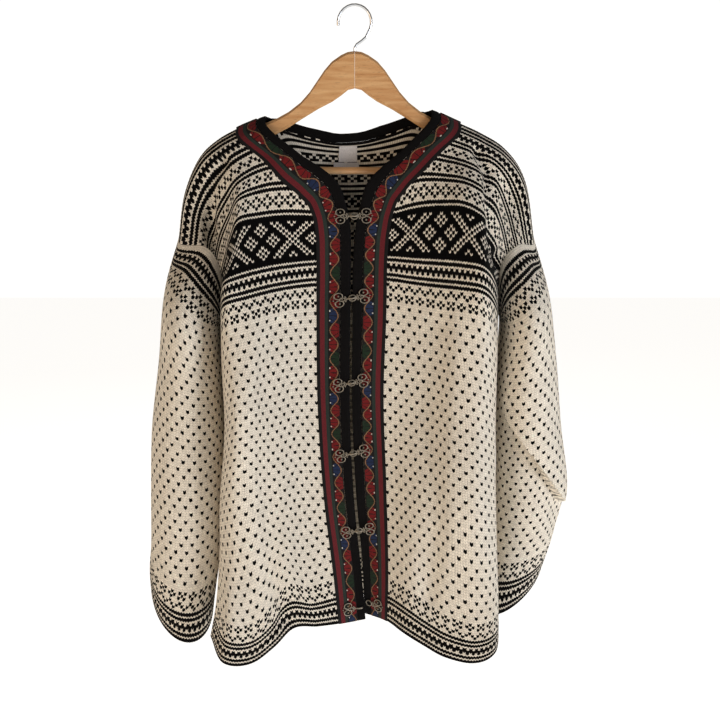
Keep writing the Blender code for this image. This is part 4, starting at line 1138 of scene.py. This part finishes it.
# %% Rings, beads and hooks
CLASP_SEAT, OPEN_CLASP = 0.3, 12.0  # space under a half, and how far the open one is moved
WIRE_AROUND, RING_POINTS, TWIST = 7, 22, 0.10
RING_HEIGHT, BEAD_HEIGHT = 0.85, 0.8


def pipe(path, radius, closed):
    """Points and faces of a round wire along a path of clasp measures (along, up, out)."""
    path = np.array(path, float)
    if closed:
        ahead = np.roll(path, -1, axis=0) - np.roll(path, 1, axis=0)
    else:
        ahead = np.gradient(path, axis=0)
    ahead = unit(ahead)
    side = unit(np.cross(ahead, (0.05, 0.02, 1.0)))
    over = np.cross(side, ahead)
    angle = np.arange(WIRE_AROUND) * 2 * math.pi / WIRE_AROUND
    radius = np.broadcast_to(radius, len(path))[:, None, None]
    spoke = np.cos(angle)[:, None] * side[:, None] + np.sin(angle)[:, None] * over[:, None]
    points = path[:, None] + radius * spoke
    count = len(path)
    spans = count if closed else count - 1
    faces = [[r * WIRE_AROUND + c, r * WIRE_AROUND + (c + 1) % WIRE_AROUND,
              (r + 1) % count * WIRE_AROUND + (c + 1) % WIRE_AROUND, (r + 1) % count * WIRE_AROUND + c]
             for r in range(spans) for c in range(WIRE_AROUND)]
    if not closed:
        faces += [list(range(WIRE_AROUND)), [(count - 1) * WIRE_AROUND + c for c in range(WIRE_AROUND)][::-1]]
    return points.reshape(-1, 3), faces


def ring(along, up, long, high, wire, height=RING_HEIGHT):
    """A wire ring with a fine twist, by its middle and its half axes."""
    turn = np.arange(RING_POINTS) * 2 * math.pi / RING_POINTS
    path = np.stack([along + long * np.cos(turn), up + high * np.sin(turn), height + 0 * turn], 1)
    return pipe(path, wire * (1 + TWIST * np.cos(turn * RING_POINTS / 2)), True)


def bead(along, up, size):
    """A small round bead of pewter."""
    level = np.linspace(-1.4, 1.4, 7)
    path = np.stack([along + 0 * level, up + 0 * level, BEAD_HEIGHT + size * np.sin(level)], 1)
    return pipe(path, size * np.cos(level), False)


def clasp_half(kind):
    """All the rings, beads and ends of one half, from the middle of the clasp outward."""
    parts = [ring(7.6, 0.0, 1.5, 1.6, 0.7), ring(13.0, 0.0, 3.9, 2.3, 0.75, 1.1), bead(13.0, 0.0, 1.1),
             bead(25.4, 0.0, 1.2), bead(24.4, 3.0, 0.9), bead(24.4, -3.0, 0.9)]
    for up in (5.3, -5.3):
        parts += [ring(17.6, up, 5.9, 4.4, 0.8), bead(17.4, up, 1.5), bead(8.6, up * 0.6, 1.3)]
    if kind == "eye":
        parts.append(ring(1.4, 0.0, 4.9, 4.2, 0.9, 0.9))
        return parts
    bend = [(7.2, 0, 0.9), (5.2, 0, 1.0), (3.4, 0, 1.7), (1.6, 0, 2.7),
            (-0.6, 0, 3.0), (-3.2, 0, 2.9), (-4.9, 0, 2.2), (-5.5, 0, 1.1)]
    parts.append(pipe(bend, np.array([1.1, 1.1, 1.15, 1.25, 1.4, 1.6, 1.5, 0.9]), False))
    return parts


# %% Where a clasp sits
SEAT_FROM, SEAT_TO, SEAT_UP = 1.5, 27, 12  # the part of the bands that a half covers, in mm
SEAT_ROWS, SEAT_COLUMNS = 7, 9


def seat_frame(sides, drop, apart=0.0):
    """Where a clasp lies flat on the bands: its origin and its directions along, up and out."""
    across, drops = np.meshgrid(apart + np.linspace(SEAT_FROM, SEAT_TO, SEAT_COLUMNS),
                                drop + np.linspace(-SEAT_UP, SEAT_UP, SEAT_ROWS))
    faces = {side: fronts[side].at(across, drops) + TRIM_TOP * fronts[side].normal(across, drops)
             for side in sides}
    if len(sides) == 2:
        middle = SEAT_ROWS // 2
        along = unit(faces[LEFT][middle, -1] - faces[RIGHT][middle, -1])
        origin = (faces[LEFT][middle, 0] + faces[RIGHT][middle, 0]) / 2
        down = unit(sum(face[-1].mean(axis=0) - face[0].mean(axis=0) for face in faces.values()))
    else:
        side = sides[0]
        flat = np.stack([np.ones(across.size), across.ravel(), drops.ravel()], axis=1)
        plane = np.linalg.lstsq(flat, faces[side].reshape(-1, 3), rcond=None)[0]
        along, down = unit(side * plane[1]), unit(plane[2])
        origin = plane[0] + drop * plane[2] + apart * plane[1]
    out = unit(np.cross(down, along))
    up = unit(np.cross(out, along))
    highest = max(float(((face - origin) @ out).max()) for face in faces.values())
    return origin + (highest + CLASP_SEAT) * out, along, up, out


# %% Pewter
def pewter_material():
    """Cast pewter: a soft grey metal, dark where it has tarnished and bright where it is rubbed.

    Its rough skin, from the mould, has a grain of 1.4 mm and finer.
    """
    made, tree, shader = new_material("cast_pewter", Metallic=1.0)
    place = add_node(tree, "TexCoord", output="Object")
    cast = add_node(tree, "TexNoise", {"Vector": place, "Scale": 700.0, "Detail": 4.0})
    rubbed = add_node(tree, "NewGeometry", output="Pointiness")
    wear = add_node(tree, "MapRange", {0: rubbed, 1: 0.44, 2: 0.58, 3: 0.0, 4: 1.0})
    both = add_node(tree, "Math", {0: wear, 1: cast}, operation="ADD")
    tint = add_node(tree, "ValToRGB", {0: add_node(tree, "Math", {0: both, 1: 0.55}, operation="MULTIPLY")})
    for stop, hex_colour in zip(tint.node.color_ramp.elements, ("#1D1A16", "#A59B8B")):
        stop.color = colour_value(hex_colour)
    roughness = add_node(tree, "MapRange", {0: cast, 3: 0.34, 4: 0.6})
    bump = add_node(tree, "Bump", {"Height": cast, "Strength": 0.35, "Distance": 0.0002})
    feed(tree, shader, {"Base Color": tint, "Roughness": roughness, "Normal": bump})
    return made


pewter = pewter_material()
clasps = {RIGHT: [], LEFT: []}
for number, drop in enumerate(CLASP_DROPS, start=1):
    fastened = number < len(CLASP_DROPS)
    for side, kind in ((RIGHT, "hook"), (LEFT, "eye")):
        seat = seat_frame((RIGHT, LEFT), drop) if fastened else seat_frame((side,), drop, OPEN_CLASP)
        origin, along, up, out = seat
        points, faces = [], []
        for part_points, part_faces in clasp_half(kind):
            offset = sum(len(p) for p in points)
            points.append(part_points)
            faces += [[offset + n for n in f] for f in part_faces]
        points = np.concatenate(points)
        points = origin + side * points[:, :1] * along + points[:, 1:2] * up + points[:, 2:] * out
        white = np.ones((len(faces), 4))
        made = cloth_piece(f"pewter_{kind}_{number}", points, faces, points[:, :2], white, pewter)
        work_on(made, bmesh.ops.recalc_face_normals, "faces")
        clasps[side].append(settle(made, "pewter", f"clasp_{number}_{kind}"))
print("clasp halves:", sum(len(halves) for halves in clasps.values()))

# %% [markdown]
# ## Hanger
# The hanger is two arms of beech, glued in the middle, with a dowel between their ends and a wire
# hook. Its solids already have the right shape, so they stay and only get their finish: a straight,
# fine grain along each arm with the short dark flecks that beech has, under a clear lacquer.

# %% Beech and wire
def wood_material(name, grain_axis_turn):
    """Lacquered beech with its grain along the piece: warm, smooth and a little glossy.

    Its pale and dark bands are 5 mm wide and 50 mm long, its flecks 1 mm wide and 8 mm long.
    """
    made, tree, shader = new_material(name, Roughness=0.42, Coat_Weight=0.35, Coat_Roughness=0.18)
    place = add_node(tree, "TexCoord", output="Object")
    turned = {"Vector": place, "Rotation": (0, grain_axis_turn, 0)}
    laid = add_node(tree, "Mapping", {**turned, "Scale": (6, 60, 60)})
    bands = add_node(tree, "TexNoise", {"Vector": laid, "Scale": 3.0, "Detail": 6.0, "Distortion": 0.4})
    flecked = add_node(tree, "Mapping", {**turned, "Scale": (120, 900, 900)})
    flecks = add_node(tree, "TexNoise", {"Vector": flecked, "Scale": 1.0, "Detail": 2.0})
    tint = add_node(tree, "ValToRGB", {0: bands})
    for stop, position, hex_colour in zip(tint.node.color_ramp.elements, (0.3, 0.7), ("#BE8650", "#DDAE78")):
        stop.position = position
        stop.color = colour_value(hex_colour)
    dots = add_node(tree, "MapRange", {0: flecks, 1: 0.62, 2: 0.72, 3: 1.0, 4: 0.72})
    shaded = add_node(tree, "VectorMath", {0: tint, "Scale": dots}, operation="SCALE")
    bump = add_node(tree, "Bump", {"Height": flecks, "Strength": 0.15, "Distance": 0.0002})
    feed(tree, shader, {"Base Color": shaded, "Normal": bump})
    return made


def wire_material():
    """Bright plated steel wire, drawn along its length, with marks of 0.7 mm in its shine."""
    made, tree, shader = new_material("plated_wire", Metallic=1.0, Base_Color=colour_value("#C4C6C8"))
    place = add_node(tree, "TexCoord", output="Object")
    drawn = add_node(tree, "TexNoise", {"Vector": place, "Scale": 1500.0, "Detail": 2.0})
    feed(tree, shader, {"Roughness": add_node(tree, "MapRange", {0: drawn, 3: 0.18, 4: 0.34})})
    return made


ARM_SLOPE = math.radians(36)
for node, finish in (("hanger_arm_right", wood_material("beech_right_arm", -ARM_SLOPE)),
                     ("hanger_arm_left", wood_material("beech_left_arm", ARM_SLOPE)),
                     ("hanger_bar", wood_material("beech_dowel", 0.0)), ("hanger_hook", wire_material())):
    for place in nodes[node].material_slots:
        place.material = finish
    print(node, "is finished in", finish.name)
